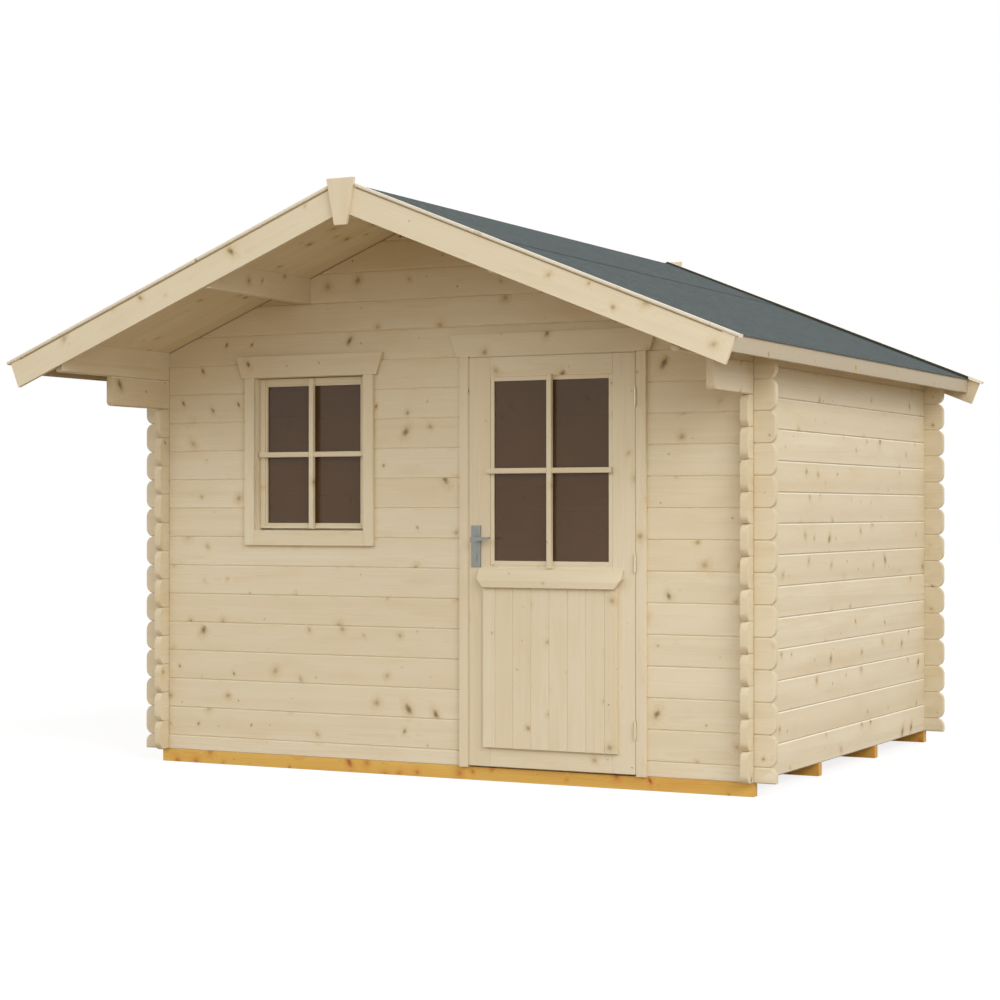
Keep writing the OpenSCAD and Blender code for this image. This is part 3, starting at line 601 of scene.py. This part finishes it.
LAID_OTHERS = "-"


def widest(group, run, laid):
    """The normal of the largest face that lies along the grain, on the side that it is laid."""
    totals = {}
    for f in faces_of(group):
        if abs(f.normal.dot(run)) < 0.3:
            key = tuple(round(abs(c), 1) for c in f.normal)
            area, normal = totals.get(key, (0, f.normal))
            totals[key] = (area + f.calc_area(), normal)
    if not totals:
        return run.orthogonal().normalized()
    best = max(totals.items(), key=lambda item: (round(item[1][0], 6), item[0]))[1][1]
    best = (best - run * best.dot(run)).normalized()
    return best if (best.dot(X + 2 * Y + 3 * Z) > 0) == (laid == "+") else -best


LONG_RIM = 250 * MM  # a face on which lay_grain() paints a highlight or shade is at least this long
NARROW_RIM = 9 * MM  # and at most this wide


def painted_light_layer(bm):
    """The layer with each face's painted highlight or painted shade."""
    return bm.faces.layers.float.get("rim") or bm.faces.layers.float.new("rim")


def lay_grain(bm, name, run=None):
    """Writes where each point of each solid is in its own piece of wood, and paints light on its
    long slanting edges: a painted highlight above and painted shade below on the sides, and half
    a painted highlight below on the front."""
    grain = bm.verts.layers.float_vector.new("grain")
    piece = bm.verts.layers.float_vector.new("piece")
    end = bm.faces.layers.float.new("end_grain")
    rim = painted_light_layer(bm)
    draw = random.Random(name)
    laid = LAID.get(name, LAID_OTHERS)
    for count, group in enumerate(solids(bm)):
        line = run or longest(group)
        face = widest(group, line, laid[min(count, len(laid) - 1)])
        side = face.cross(line).normalized()
        points = [v.co for v in group]
        middle = [
            (min(p.dot(a) for p in points) + max(p.dot(a) for p in points)) / 2
            for a in (side, face)
        ]
        shift = draw.uniform(0, 40)
        trait = (
            draw.random(),
            draw.uniform(-0.03, 0.03),
            draw.choice((-1, 1)) * draw.uniform(0.03, 0.09),
        )
        for v in group:
            v[grain] = (
                v.co.dot(line) + shift,
                v.co.dot(side) - middle[0],
                v.co.dot(face) - middle[1],
            )
            v[piece] = trait
        for f in faces_of(group):
            f[end] = 1.0 if abs(f.normal.dot(line)) > 0.75 else 0.0
            span = max(e.calc_length() for e in f.edges)
            narrow = span > LONG_RIM and f.calc_area() < NARROW_RIM * span
            # Painted highlight on up-facing side chamfers, painted shade on down-facing ones, and
            # half a painted highlight that lifts the shade under the front logs' edges.
            if f[rim] == 0 and narrow and 0.3 < abs(f.normal.z) < 0.97:
                if abs(f.normal.x) > 0.3:
                    f[rim] = PAINTED_HIGHLIGHT if f.normal.z > 0 else PAINTED_SHADE
                elif f.normal.z < 0:
                    f[rim] = HALF_PAINTED_HIGHLIGHT


def place_piece(bm, name, body, material, stands_for=(), smooth=22):
    """Makes the bmesh a visible piece that rides on a body."""
    for f in bm.faces:
        f.smooth = True
    mesh = bpy.data.meshes.new(name)
    bm.to_mesh(mesh)
    bm.free()
    mesh.set_sharp_from_angle(angle=math.radians(smooth))
    mesh.materials.append(material)
    piece = bpy.data.objects.new(name, mesh)
    bpy.context.scene.collection.objects.link(piece)
    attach(piece, body)
    if stands_for:
        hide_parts(*stands_for)


def wear(node, material):
    """Gives a CAD node a material of its own."""
    shown = frame["nodes"][node]
    shown.data.materials.clear()
    shown.data.materials.append(material)


def slice_at(bm, place, away, clear=False):
    """Cuts the faces along a plane, and drops what lies past it where asked."""
    whole = bm.verts[:] + bm.edges[:] + bm.faces[:]
    cut = bmesh.ops.bisect_plane(
        bm, geom=whole, plane_co=place, plane_no=away, clear_outer=clear
    )
    return [e for e in cut["geom_cut"] if isinstance(e, bmesh.types.BMEdge)]


def trim(bm, place, away):
    """Cuts off what lies past a plane and closes the cut."""
    bmesh.ops.holes_fill(bm, edges=slice_at(bm, place, away, True), sides=0)


def gather(whole, part):
    """Moves the shapes of one bmesh into another."""
    held = bpy.data.meshes.new("held")
    part.to_mesh(held)
    part.free()
    whole.from_mesh(held)
    bpy.data.meshes.remove(held)


def saw(bm, axis, cuts, gap):
    """The shape cut into closed boards at these places along an axis, with a gap between them."""
    whole = bmesh.new()
    ends = [None, *cuts, None]
    for low, high in zip(ends, ends[1:]):
        board = bm.copy()
        if low is not None:
            trim(board, axis * (low + gap / 2), -axis)
        if high is not None:
            trim(board, axis * (high - gap / 2), axis)
        gather(whole, board)
    bm.free()
    bmesh.ops.recalc_face_normals(whole, faces=whole.faces)
    return whole


def seam(bm, place, away, width, tint):
    """Paints shade on a strip of the logs' front faces beside a plane."""
    for distance in (HAIR, width):
        slice_at(bm, place + away * distance, away)
    rim = painted_light_layer(bm)
    for f in bm.faces:
        if f.normal.y < -0.5 and HAIR < (f.calc_center_median() - place).dot(away) < width:
            f[rim] = tint


def add_block(bm, low, high):
    """A box between two corners."""
    low, high = Vector(low), Vector(high)
    made = bmesh.ops.create_cube(bm, size=1)["verts"]
    bmesh.ops.scale(bm, vec=high - low, verts=made)
    bmesh.ops.translate(bm, vec=(low + high) / 2, verts=made)
    return made


def node_body(node):
    return frame["nodes"][node]["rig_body"]


def record_slot(node):
    for part in frame["record"]["subparts"]:
        if part["node"] == node:
            return part["material_slot"]
    raise RuntimeError("the record has no sub-part " + node)


# The settings that colour each kind of timber, and how it grew.
# Each kind's edge colour is its painted highlight.
PLAIN = {"knot": "knot", "halo": "halo", "edge": "planed_edge"}
TREATED = {"knot": "treated_knot", "halo": "treated_halo", "edge": "treated_pale"}
TIMBERS = {
    "spruce_logs": (
        {"pale": "log_pale", "late": "log_late", **PLAIN},
        {"knot_size": 14 * MM, "contrast": 0.24, "warmth": 0.22},
    ),
    "spruce_boards": (
        {"pale": "board_pale", "late": "board_late", **PLAIN},
        {"knot_size": 12 * MM, "contrast": 0.18, "warmth": 0.20},
    ),
    # A paler copy of the board wood, as a painted highlight.
    "cover_battens": (
        {"pale": "batten_pale", "late": "board_pale", **PLAIN},
        {"knot_size": 9 * MM, "contrast": 0.12, "warmth": 0.10},
    ),
    # A darker, greyer copy of the board wood, as painted shade.
    "eave_boards": (
        {"pale": "eave_pale", "late": "eave_late", **PLAIN},
        {"knot_size": 12 * MM, "contrast": 0.18, "warmth": 0.15},
    ),
    "treated_beam": (
        {"pale": "treated_pale", "late": "treated_late", **TREATED},
        {"knot_size": 14 * MM, "contrast": 0.4, "warmth": 0.3, "rare": 0.15, "spread": 0.6},
    ),
}
MATERIALS = {}


def timber_material(kind):
    """The material of a kind of timber, made once."""
    if kind not in MATERIALS:
        look = bpy.context.scene.cabin_timber
        colours, growth = TIMBERS[kind]
        colours = {part: getattr(look, setting) for part, setting in colours.items()}
        MATERIALS[kind] = spruce(kind, **colours, **growth)
    return MATERIALS[kind]


def timber_piece(bm, name, node, run=None, stands_for=True, kind=None):
    """Finishes a timber bmesh as the piece that stands for a CAD node, or that rides with it."""
    slot = record_slot(node)
    lay_grain(bm, name, run)
    place_piece(
        bm, name, node_body(node), timber_material(kind or slot),
        (node,) if stands_for else (),
    )


def timber_copy(node, run=None, kind=None):
    """A copy of a CAD node with eased edges and its grain."""
    bm = cad_shape(node)
    ease(bm, bpy.context.scene.cabin_timber.arris)
    timber_piece(bm, node + "_timber", node, run, kind=kind)


# ---------------------------------------------------------------- studio


CAMERA_PLACE = (4.7920, -9.6497, 1.1929)
CAMERA_TURN = (90.285, 0, 27.176)  # degrees
SENSOR_WIDTH = 36  # millimetres
FLOOR_REACH = 60  # metres to each side
FLOOR_DROP = 0.5 * MM  # so that the beams don't share its plane
FLOOR_GLOW = 1.15  # a little over white
FLOOR_SHARE = 0.70  # of the glow. The rest is lit, and shows the shadow.
SKY_LOW, SKY_HIGH = 0.42, 0.80  # heights on the unit sphere between which the sky dims
SUN_SPREAD = 30  # degrees
KEY_AIM = (60, 35)  # turn and rise, in degrees
FILL_AIM = (-15, 35)
NEAR_PLACE = (3.74, -4.65, 2.24)
NEAR_TURN = (78, 0, 40)  # degrees


def add_to_scene(name, data, place=(0, 0, 0), turn=(0, 0, 0)):
    """A new object in the scene, with its turn in degrees."""
    added = bpy.data.objects.new(name, data)
    added.location = place
    added.rotation_euler = [math.radians(angle) for angle in turn]
    bpy.context.scene.collection.objects.link(added)
    return added


def lay_floor(look):
    """Lays a floor that looks white and still takes the cabin's shadow."""
    bm = bmesh.new()
    bmesh.ops.create_grid(bm, x_segments=1, y_segments=1, size=FLOOR_REACH)
    bmesh.ops.translate(bm, vec=Z * -FLOOR_DROP, verts=bm.verts)
    mesh = bpy.data.meshes.new("studio_floor")
    bm.to_mesh(mesh)
    bm.free()
    add_to_scene("studio_floor", mesh)
    g = Graph(bpy.data.materials.new("studio_floor"))
    looked_at = g.looked_at()
    shown = g.mix(looked_at, look.floor, WHITE)
    matt = g.node("ShaderNodeBsdfDiffuse", inputs={"Color": shown})
    glow = g.node("ShaderNodeEmission", inputs={"Color": WHITE, "Strength": FLOOR_GLOW})
    mesh.materials.append(
        g.blend(looked_at * FLOOR_SHARE, matt, glow, "ShaderNodeOutputMaterial")
    )


def light_world(look):
    """Soft light that dims towards the zenith, and a white background."""
    world = bpy.data.worlds.new("studio_light")
    bpy.context.scene.world = world
    g = Graph(world)
    height = g.parts(g.node("ShaderNodeTexCoord", output="Generated"))[2]
    soft = g.node(
        "ShaderNodeMapRange",
        {"interpolation_type": "SMOOTHSTEP"},
        {
            "Value": height, "From Min": SKY_LOW, "From Max": SKY_HIGH,
            "To Min": look.sky, "To Max": look.zenith,
        },
    )
    lit = g.node("ShaderNodeBackground", inputs={"Color": WHITE, "Strength": soft})
    shown = g.node("ShaderNodeBackground", inputs={"Color": WHITE})
    g.blend(g.looked_at(), lit, shown, "ShaderNodeOutputWorld")


def hang_lamps(look):
    """Two distant lamps, and a wide one beside the front corner."""
    for name, strength, (turn, rise) in (
        ("key_light", look.key, KEY_AIM), ("fill_light", look.fill, FILL_AIM),
    ):
        lamp = bpy.data.lights.new(name, "SUN")
        lamp.energy = strength
        lamp.angle = math.radians(SUN_SPREAD)
        add_to_scene(name, lamp, turn=(90 - rise, 0, turn))
    lamp = bpy.data.lights.new("near_light", "AREA")
    lamp.shape = "DISK"
    lamp.size = look.near_size
    lamp.energy = look.near
    add_to_scene("near_light", lamp, NEAR_PLACE, NEAR_TURN).visible_camera = False


# ---------------------------------------------------------------- operators


class CABIN_OT_stage(bpy.types.Operator):
    """Sets the floor, the light and the camera"""

    bl_idname = "cabin.stage"
    bl_label = "Set the stage"

    def execute(self, context):
        look = context.scene.cabin_stage
        context.scene.view_settings.view_transform = "Standard"
        camera = bpy.data.cameras.new("camera")
        camera.lens = look.lens / MM
        camera.sensor_width = SENSOR_WIDTH
        context.scene.camera = add_to_scene("camera", camera, CAMERA_PLACE, CAMERA_TURN)
        lay_floor(look)
        light_world(look)
        hang_lamps(look)
        return {"FINISHED"}


class CABIN_OT_logs(bpy.types.Operator):
    """Finishes the wall logs and the purlins"""

    bl_idname = "cabin.logs"
    bl_label = "Finish the logs"

    def execute(self, context):
        look = context.scene.cabin_timber
        for node in ("left_purlin", "right_purlin", "ridge_purlin"):
            timber_copy(node, Y)
        for node in ("left_wall_logs", "right_wall_logs"):
            bm = cad_shape(node)
            rim = painted_light_layer(bm)
            # Deep painted shade on the foremost end faces of the side logs, under the barge
            # boards.
            foremost = min(v.co.y for v in bm.verts)
            for f in bm.faces:
                if f.normal.y < -0.9 and f.calc_center_median().y < foremost + MM:
                    f[rim] = DEEP_PAINTED_SHADE
            ease(bm, look.arris)
            timber_piece(bm, node + "_timber", node, Y)
        for node in ("back_wall_logs", "back_gable_logs"):
            timber_copy(node, X)
        for side in ("left", "right"):
            node = "front_wall_" + side + "_logs"
            bm = cad_shape(node)
            ease(bm, look.arris)
            # Painted shade beside the crossed side log.
            seam(bm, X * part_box(side + "_wall_logs")[1].x, X, look.corner_seam, PAINTED_SHADE)
            timber_piece(bm, node + "_timber", node, X)

        bm = cad_shape("front_gable_logs")
        ease(bm, look.arris)
        for node in ("left_roof_boards", "right_roof_boards"):
            roof = cad_shape(node)
            under = max(roof.faces, key=lambda f: f.calc_area() * (f.normal.z < -0.5))
            # Deep painted shade on the gable logs just under the roof boards.
            seam(bm, under.verts[0].co.copy(), under.normal.copy(), look.roof_seam, DEEP_PAINTED_SHADE)
            roof.free()
        timber_piece(bm, "front_gable_logs_timber", "front_gable_logs", X)
        return {"FINISHED"}


class CABIN_OT_beams(bpy.types.Operator):
    """Finishes the treated beams under the floor"""

    bl_idname = "cabin.beams"
    bl_label = "Finish the floor beams"

    def execute(self, context):
        for place in ("front", "second", "third", "back"):
            timber_copy(place + "_floor_beam", X)
        return {"FINISHED"}


BOARD_ARRIS = 0.8 * MM
FIRST_FLOOR_BOARD = 0.6  # of a board's width
LEAST_BOARD = 10 * MM  # no narrower board is cut
DOOR_JOINTS = range(-3, 4)  # counted from the middle of the door
LEAST_JOINT = 300 * MM  # a door board's V runs along edges longer than this


class CABIN_OT_boards(bpy.types.Operator):
    """Cuts the roof, the floor and the door's lower panel into boards"""

    bl_idname = "cabin.boards"
    bl_label = "Lay the boards"

    def execute(self, context):
        look = context.scene.cabin_timber
        step = look.board_width
        for node in ("left_roof_boards", "right_roof_boards"):
            low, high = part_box(node)
            bm = cad_shape(node)
            upper = max(bm.faces, key=lambda f: round(f.calc_area(), 5)).normal
            slope = Y.cross(upper).normalized()
            count = int((high.y - low.y) / step)
            cuts = [low.y + step * (k + 1) for k in range(count)]
            bm = saw(bm, Y, cuts, look.board_gap)
            ease(bm, BOARD_ARRIS, 1)
            timber_piece(bm, node + "_timber", node, slope)

        low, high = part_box("floor_boards")
        count = int((high.x - low.x) / step)
        cuts = [low.x + step * (k + FIRST_FLOOR_BOARD) for k in range(count + 1)]
        cuts = [cut for cut in cuts if cut < high.x - LEAST_BOARD]
        bm = saw(cad_shape("floor_boards"), X, cuts, look.board_gap)
        ease(bm, BOARD_ARRIS, 1)
        timber_piece(bm, "floor_boards_timber", "floor_boards", Y)

        low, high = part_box("door_boarding")
        middle = (low.x + high.x) / 2
        cuts = [middle + step * k for k in DOOR_JOINTS]
        bm = saw(cad_shape("door_boarding"), X, cuts, look.board_gap)
        joints = [
            e for e in bm.edges
            if abs((e.verts[0].co - e.verts[1].co).normalized().z) > 0.99
            and max(v.co.y for v in e.verts) < low.y + HAIR
            and e.calc_length() > LEAST_JOINT
            and low.x + LEAST_BOARD < e.verts[0].co.x < high.x - LEAST_BOARD
        ]
        bevel(bm, joints, look.board_vee)
        ease(bm, BOARD_ARRIS, 1)
        timber_piece(bm, "door_boarding_timber", "door_boarding", Z)
        return {"FINISHED"}


LEAST_BATTEN = 500 * MM  # the lower edge of a cover batten is longer than this


class CABIN_OT_joinery(bpy.types.Operator):
    """Finishes the barge boards, battens, trims, frames, door leaf and sash"""

    bl_idname = "cabin.joinery"
    bl_label = "Finish the joinery"

    def execute(self, context):
        look = context.scene.cabin_timber
        for node in (
            "front_left_barge_board", "front_right_barge_board",
            "rear_left_barge_board", "rear_right_barge_board",
            "door_frame", "door_trims", "inner_trims", "door_leaf",
            "door_drip_board", "window_frame", "window_sash", "window_trims",
        ):
            timber_copy(node)
        for node, outward in (("front_cover_battens", -1), ("rear_cover_battens", 1)):
            bm = saw(cad_shape(node), X, [0], HAIR)
            low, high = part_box(node)
            outer = low.y if outward < 0 else high.y
            under = [
                e for e in bm.edges
                if all(abs(v.co.y - outer) < HAIR for v in e.verts)
                and e.calc_length() > LEAST_BATTEN
                and min(f.normal.z for f in e.link_faces) < -0.5
            ]
            bevel(bm, under, look.batten_nose, 4)
            ease(bm, look.arris)
            # Half painted shade on each batten's outward face.
            rim = painted_light_layer(bm)
            for f in bm.faces:
                if f.normal.y * outward > 0.3:
                    f[rim] = HALF_PAINTED_SHADE
            timber_piece(bm, node + "_timber", node, kind="cover_battens")
        for node in ("left_eave_board", "right_eave_board"):
            timber_copy(node, kind="eave_boards")
        for node in ("front_peak_board", "rear_peak_board"):
            timber_copy(node, Z)
        return {"FINISHED"}


# How far the bars lap past the pane: at its foot, its head, its left and its right.
DOOR_LAPS = (26 * MM, 19 * MM, 26 * MM, 13 * MM)
WINDOW_LAPS = (20 * MM, 26 * MM, 26 * MM, 26 * MM)
BAR_LIFT = 0.3 * MM  # from the face that the bars lie on
BAR_CLEARANCE = 0.2 * MM  # between the bars of a cross


class CABIN_OT_glazing_bars(bpy.types.Operator):
    """Adds the crosses of glazing bars on the door and the sash"""

    bl_idname = "cabin.glazing_bars"
    bl_label = "Add the glazing bars"

    def execute(self, context):
        look = context.scene.cabin_glazing
        half = look.bar_width / 2
        for name, node, pane, (foot, head, left, right) in (
            ("door_glazing_bars", "door_leaf", "door_glass", DOOR_LAPS),
            ("window_glazing_bars", "window_sash", "window_glass", WINDOW_LAPS),
        ):
            low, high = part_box(pane)
            middle = (low + high) / 2
            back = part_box(node)[0].y - BAR_LIFT
            front = back - look.bar_depth
            bm = bmesh.new()
            add_block(
                bm,
                (middle.x - half, front, low.z - foot),
                (middle.x + half, back, high.z + head),
            )
            for start, stop in (
                (low.x - left, middle.x - half - BAR_CLEARANCE),
                (middle.x + half + BAR_CLEARANCE, high.x + right),
            ):
                add_block(bm, (start, front, middle.z - half), (stop, back, middle.z + half))
            facing = [
                e for e in bm.edges if max(v.co.y for v in e.verts) < front + 0.1 * HAIR
            ]
            bevel(bm, facing, look.bar_round, 3)
            timber_piece(bm, name, node, stands_for=False)
        return {"FINISHED"}


JAMB = 34 * MM
STRIP_WIDTH = 4 * MM
STRIP_DEPTH = 16 * MM
STRIP_FOOT = 2 * MM  # above the leaf's foot
FRAME_CLEARANCE = 0.2 * MM
HEAD_CLEARANCE = 1.6 * MM  # over the leaf
SIDE_CLEARANCE = 1.4 * MM  # beside the leaf's hinged edge
SHORTEST_STRIP = 10 * MM


class CABIN_OT_door_strips(bpy.types.Operator):
    """Adds the pale strips set back in the gap round the door leaf"""

    bl_idname = "cabin.door_strips"
    bl_label = "Add the door strips"

    def execute(self, context):
        look = context.scene.cabin_glazing
        leaf_low, leaf_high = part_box("door_leaf")
        frame_low, frame_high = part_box("door_frame")
        front = leaf_low.y + look.strip_back
        back = front + STRIP_DEPTH
        left = frame_low.x + JAMB
        right = frame_high.x - JAMB
        head = frame_high.z - JAMB
        foot = leaf_low.z + STRIP_FOOT
        top = leaf_high.z
        hinges = []
        for node in ("hinge_pins", "hinge_sleeves"):
            bm = cad_shape(node)
            for group in solids(bm):
                heights = [v.co.z for v in group]
                hinges.append((min(heights) - MM, max(heights) + MM))
            bm.free()
        bm = bmesh.new()
        add_block(bm, (left + FRAME_CLEARANCE, front, foot), (left + STRIP_WIDTH, back, top))
        add_block(
            bm,
            (leaf_low.x, front, top + HEAD_CLEARANCE),
            (leaf_high.x, back, head - FRAME_CLEARANCE),
        )
        start = foot
        for low, high in (*sorted(hinges), (top, top)):
            if low - start > SHORTEST_STRIP:
                add_block(
                    bm,
                    (leaf_high.x + SIDE_CLEARANCE, front, start),
                    (right - FRAME_CLEARANCE, back, low),
                )
            start = max(start, high)
        timber_piece(bm, "door_gap_strips", "door_trims", stands_for=False)
        return {"FINISHED"}


class CABIN_OT_panes(bpy.types.Operator):
    """Gives the panes their glass"""

    bl_idname = "cabin.panes"
    bl_label = "Glaze the door and window"

    def execute(self, context):
        glass = float_glass(context.scene.cabin_glazing)
        for node in ("door_glass", "window_glass"):
            wear(node, glass)
        return {"FINISHED"}


class CABIN_OT_felt(bpy.types.Operator):
    """Gives the roofing felt its mineral surface"""

    bl_idname = "cabin.felt"
    bl_label = "Surface the felt"

    def execute(self, context):
        felt = mineral_felt(context.scene.cabin_roof)
        for node in ("left_roof_felt", "right_roof_felt", "ridge_felt"):
            wear(node, felt)
        return {"FINISHED"}


class CABIN_OT_felt_edges(bpy.types.Operator):
    """Turns the felt up behind the cover battens and down over the barge boards"""

    bl_idname = "cabin.felt_edges"
    bl_label = "Fold the felt edges"

    def execute(self, context):
        look = context.scene.cabin_roof
        thick, fold = look.felt_fold_t, look.felt_fold
        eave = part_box("right_roof_felt")[1].x
        upstands, folds = bmesh.new(), bmesh.new()
        for end, into in (("front", Y), ("rear", -Y)):
            battens = end + "_cover_battens"
            inner = max(corner.dot(into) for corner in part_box(battens))
            bm = cad_shape(battens)
            trim(bm, into * (inner - thick), -into)
            bmesh.ops.translate(bm, vec=into * (thick + HAIR), verts=bm.verts)
            for side in (X, -X):
                trim(bm, side * eave, side)
            gather(upstands, bm)

            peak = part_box(end + "_peak_board")[1].x + MM
            for barge, side in (("_left_barge_board", -X), ("_right_barge_board", X)):
                outer = min(corner.dot(into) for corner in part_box(end + barge))
                bm = cad_shape(end + barge)
                upper = max(bm.faces, key=lambda f: f.calc_area() * (f.normal.z > 0.5))
                top, rise = upper.verts[0].co.copy(), upper.normal.copy()
                trim(bm, into * (outer + thick), into)
                trim(bm, top - rise * fold, -rise)
                trim(bm, side * peak, -side)
                trim(bm, side * eave, side)
                bmesh.ops.translate(bm, vec=-into * (thick + HAIR), verts=bm.verts)
                gather(folds, bm)
        body = node_body("ridge_felt")
        # Both are painted shade: the upstands in the felt's shaded colour, the folds as the shadow
        # line under the battens.
        for name, bm, shown in (
            ("felt_upstands", upstands, look.felt_edge),
            ("felt_folds", folds, look.felt_fold_shade),
        ):
            bmesh.ops.recalc_face_normals(bm, faces=bm.faces)
            place_piece(bm, name, body, felt_edge(name, shown))
        return {"FINISHED"}


METAL_ARRIS = 1 * MM
METAL_TURN = 40  # degrees past which an edge of the metal is eased
METAL_SMOOTH = 35  # degrees up to which it is shaded smooth
LOCK_ARRIS = 0.4 * MM
LOCK_T = 2.4 * MM  # how thick the face of the lock cylinder is
LOCK_LIFT = 0.1 * MM  # between it and the plate
LOCK_FOOT_HALF = 5 * MM  # half the width of the narrow foot under the cylinder's round
LOCK_FOOT_REACH = 24 * MM  # from the centre of the round to the end of the foot


class CABIN_OT_ironmongery(bpy.types.Operator):
    """Finishes the hinges, the handle plates and the lever"""

    bl_idname = "cabin.ironmongery"
    bl_label = "Finish the ironmongery"

    def execute(self, context):
        look = context.scene.cabin_metal
        satin = satin_metal("satin_handle", look.handle, 0.34, (40, 40, 900))
        zinc = satin_metal("zinc_hinge", look.hinge, 0.36, (60, 60, 500))
        for node in ("handle_plates", "door_lever"):
            bm = cad_shape(node)
            ease(bm, METAL_ARRIS, 3, METAL_TURN)
            body, slot = node_body(node), record_slot(node)
            place_piece(bm, node + "_metal", body, satin, (node,), METAL_SMOOTH)

        low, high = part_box("handle_plates")
        middle = (low + high) / 2
        turn = Matrix.Rotation(math.radians(90), 3, "X")
        bm = bmesh.new()
        for face, out in ((low.y, -1), (high.y, 1)):
            at = Vector((middle.x, face + out * (LOCK_T / 2 + LOCK_LIFT), low.z + look.lock_z))
            made = bmesh.ops.create_cone(
                bm, cap_ends=True, segments=36, radius1=look.lock_r, radius2=look.lock_r,
                depth=LOCK_T,
            )["verts"]
            bmesh.ops.rotate(bm, verts=made, cent=(0, 0, 0), matrix=turn)
            bmesh.ops.translate(bm, verts=made, vec=at)
            add_block(
                bm,
                at + Vector((-LOCK_FOOT_HALF, -LOCK_T / 2, -LOCK_FOOT_REACH)),
                at + Vector((LOCK_FOOT_HALF, LOCK_T / 2, -look.lock_r - HAIR)),
            )
        ease(bm, LOCK_ARRIS, 2, METAL_TURN)
        node = "handle_plates"
        body, slot = node_body(node), record_slot(node)
        place_piece(bm, "lock_cylinder", body, satin, (), METAL_SMOOTH)
        for node in ("hinge_pins", "hinge_sleeves"):
            wear(node, zinc)
        return {"FINISHED"}


class CABIN_PT_sidebar(bpy.types.Panel):
    """Lists the cabin's settings and its steps in the sidebar"""

    bl_idname = "CABIN_PT_sidebar"
    bl_label = "Log cabin"
    bl_space_type = "VIEW_3D"
    bl_region_type = "UI"
    bl_category = "Cabin"

    def draw(self, context):
        for group in GROUPS:
            look = getattr(context.scene, GROUPS[group])
            box = self.layout.box()
            for name in group.__annotations__:
                box.prop(look, name)
        for step in STEPS:
            self.layout.operator(step.bl_idname)


GROUPS = {
    CabinTimberSettings: "cabin_timber",
    CabinGlazingSettings: "cabin_glazing",
    CabinRoofSettings: "cabin_roof",
    CabinMetalSettings: "cabin_metal",
    CabinStageSettings: "cabin_stage",
}
STEPS = (
    CABIN_OT_stage,
    CABIN_OT_logs,
    CABIN_OT_beams,
    CABIN_OT_boards,
    CABIN_OT_joinery,
    CABIN_OT_glazing_bars,
    CABIN_OT_door_strips,
    CABIN_OT_panes,
    CABIN_OT_felt,
    CABIN_OT_felt_edges,
    CABIN_OT_ironmongery,
)


def register():
    for group, name in GROUPS.items():
        bpy.utils.register_class(group)
        setattr(bpy.types.Scene, name, bpy.props.PointerProperty(type=group))
    for step in STEPS:
        bpy.utils.register_class(step)
    bpy.utils.register_class(CABIN_PT_sidebar)


def unregister():
    bpy.utils.unregister_class(CABIN_PT_sidebar)
    for step in reversed(STEPS):
        bpy.utils.unregister_class(step)
    for group, name in reversed(GROUPS.items()):
        delattr(bpy.types.Scene, name)
        bpy.utils.unregister_class(group)


def main():
    register()
    bpy.ops.cabin.stage()
    bpy.ops.cabin.logs()
    bpy.ops.cabin.beams()
    bpy.ops.cabin.boards()
    bpy.ops.cabin.joinery()
    bpy.ops.cabin.glazing_bars()
    bpy.ops.cabin.door_strips()
    bpy.ops.cabin.panes()
    bpy.ops.cabin.felt()
    bpy.ops.cabin.felt_edges()
    bpy.ops.cabin.ironmongery()


if __name__ == "__main__":
    main()
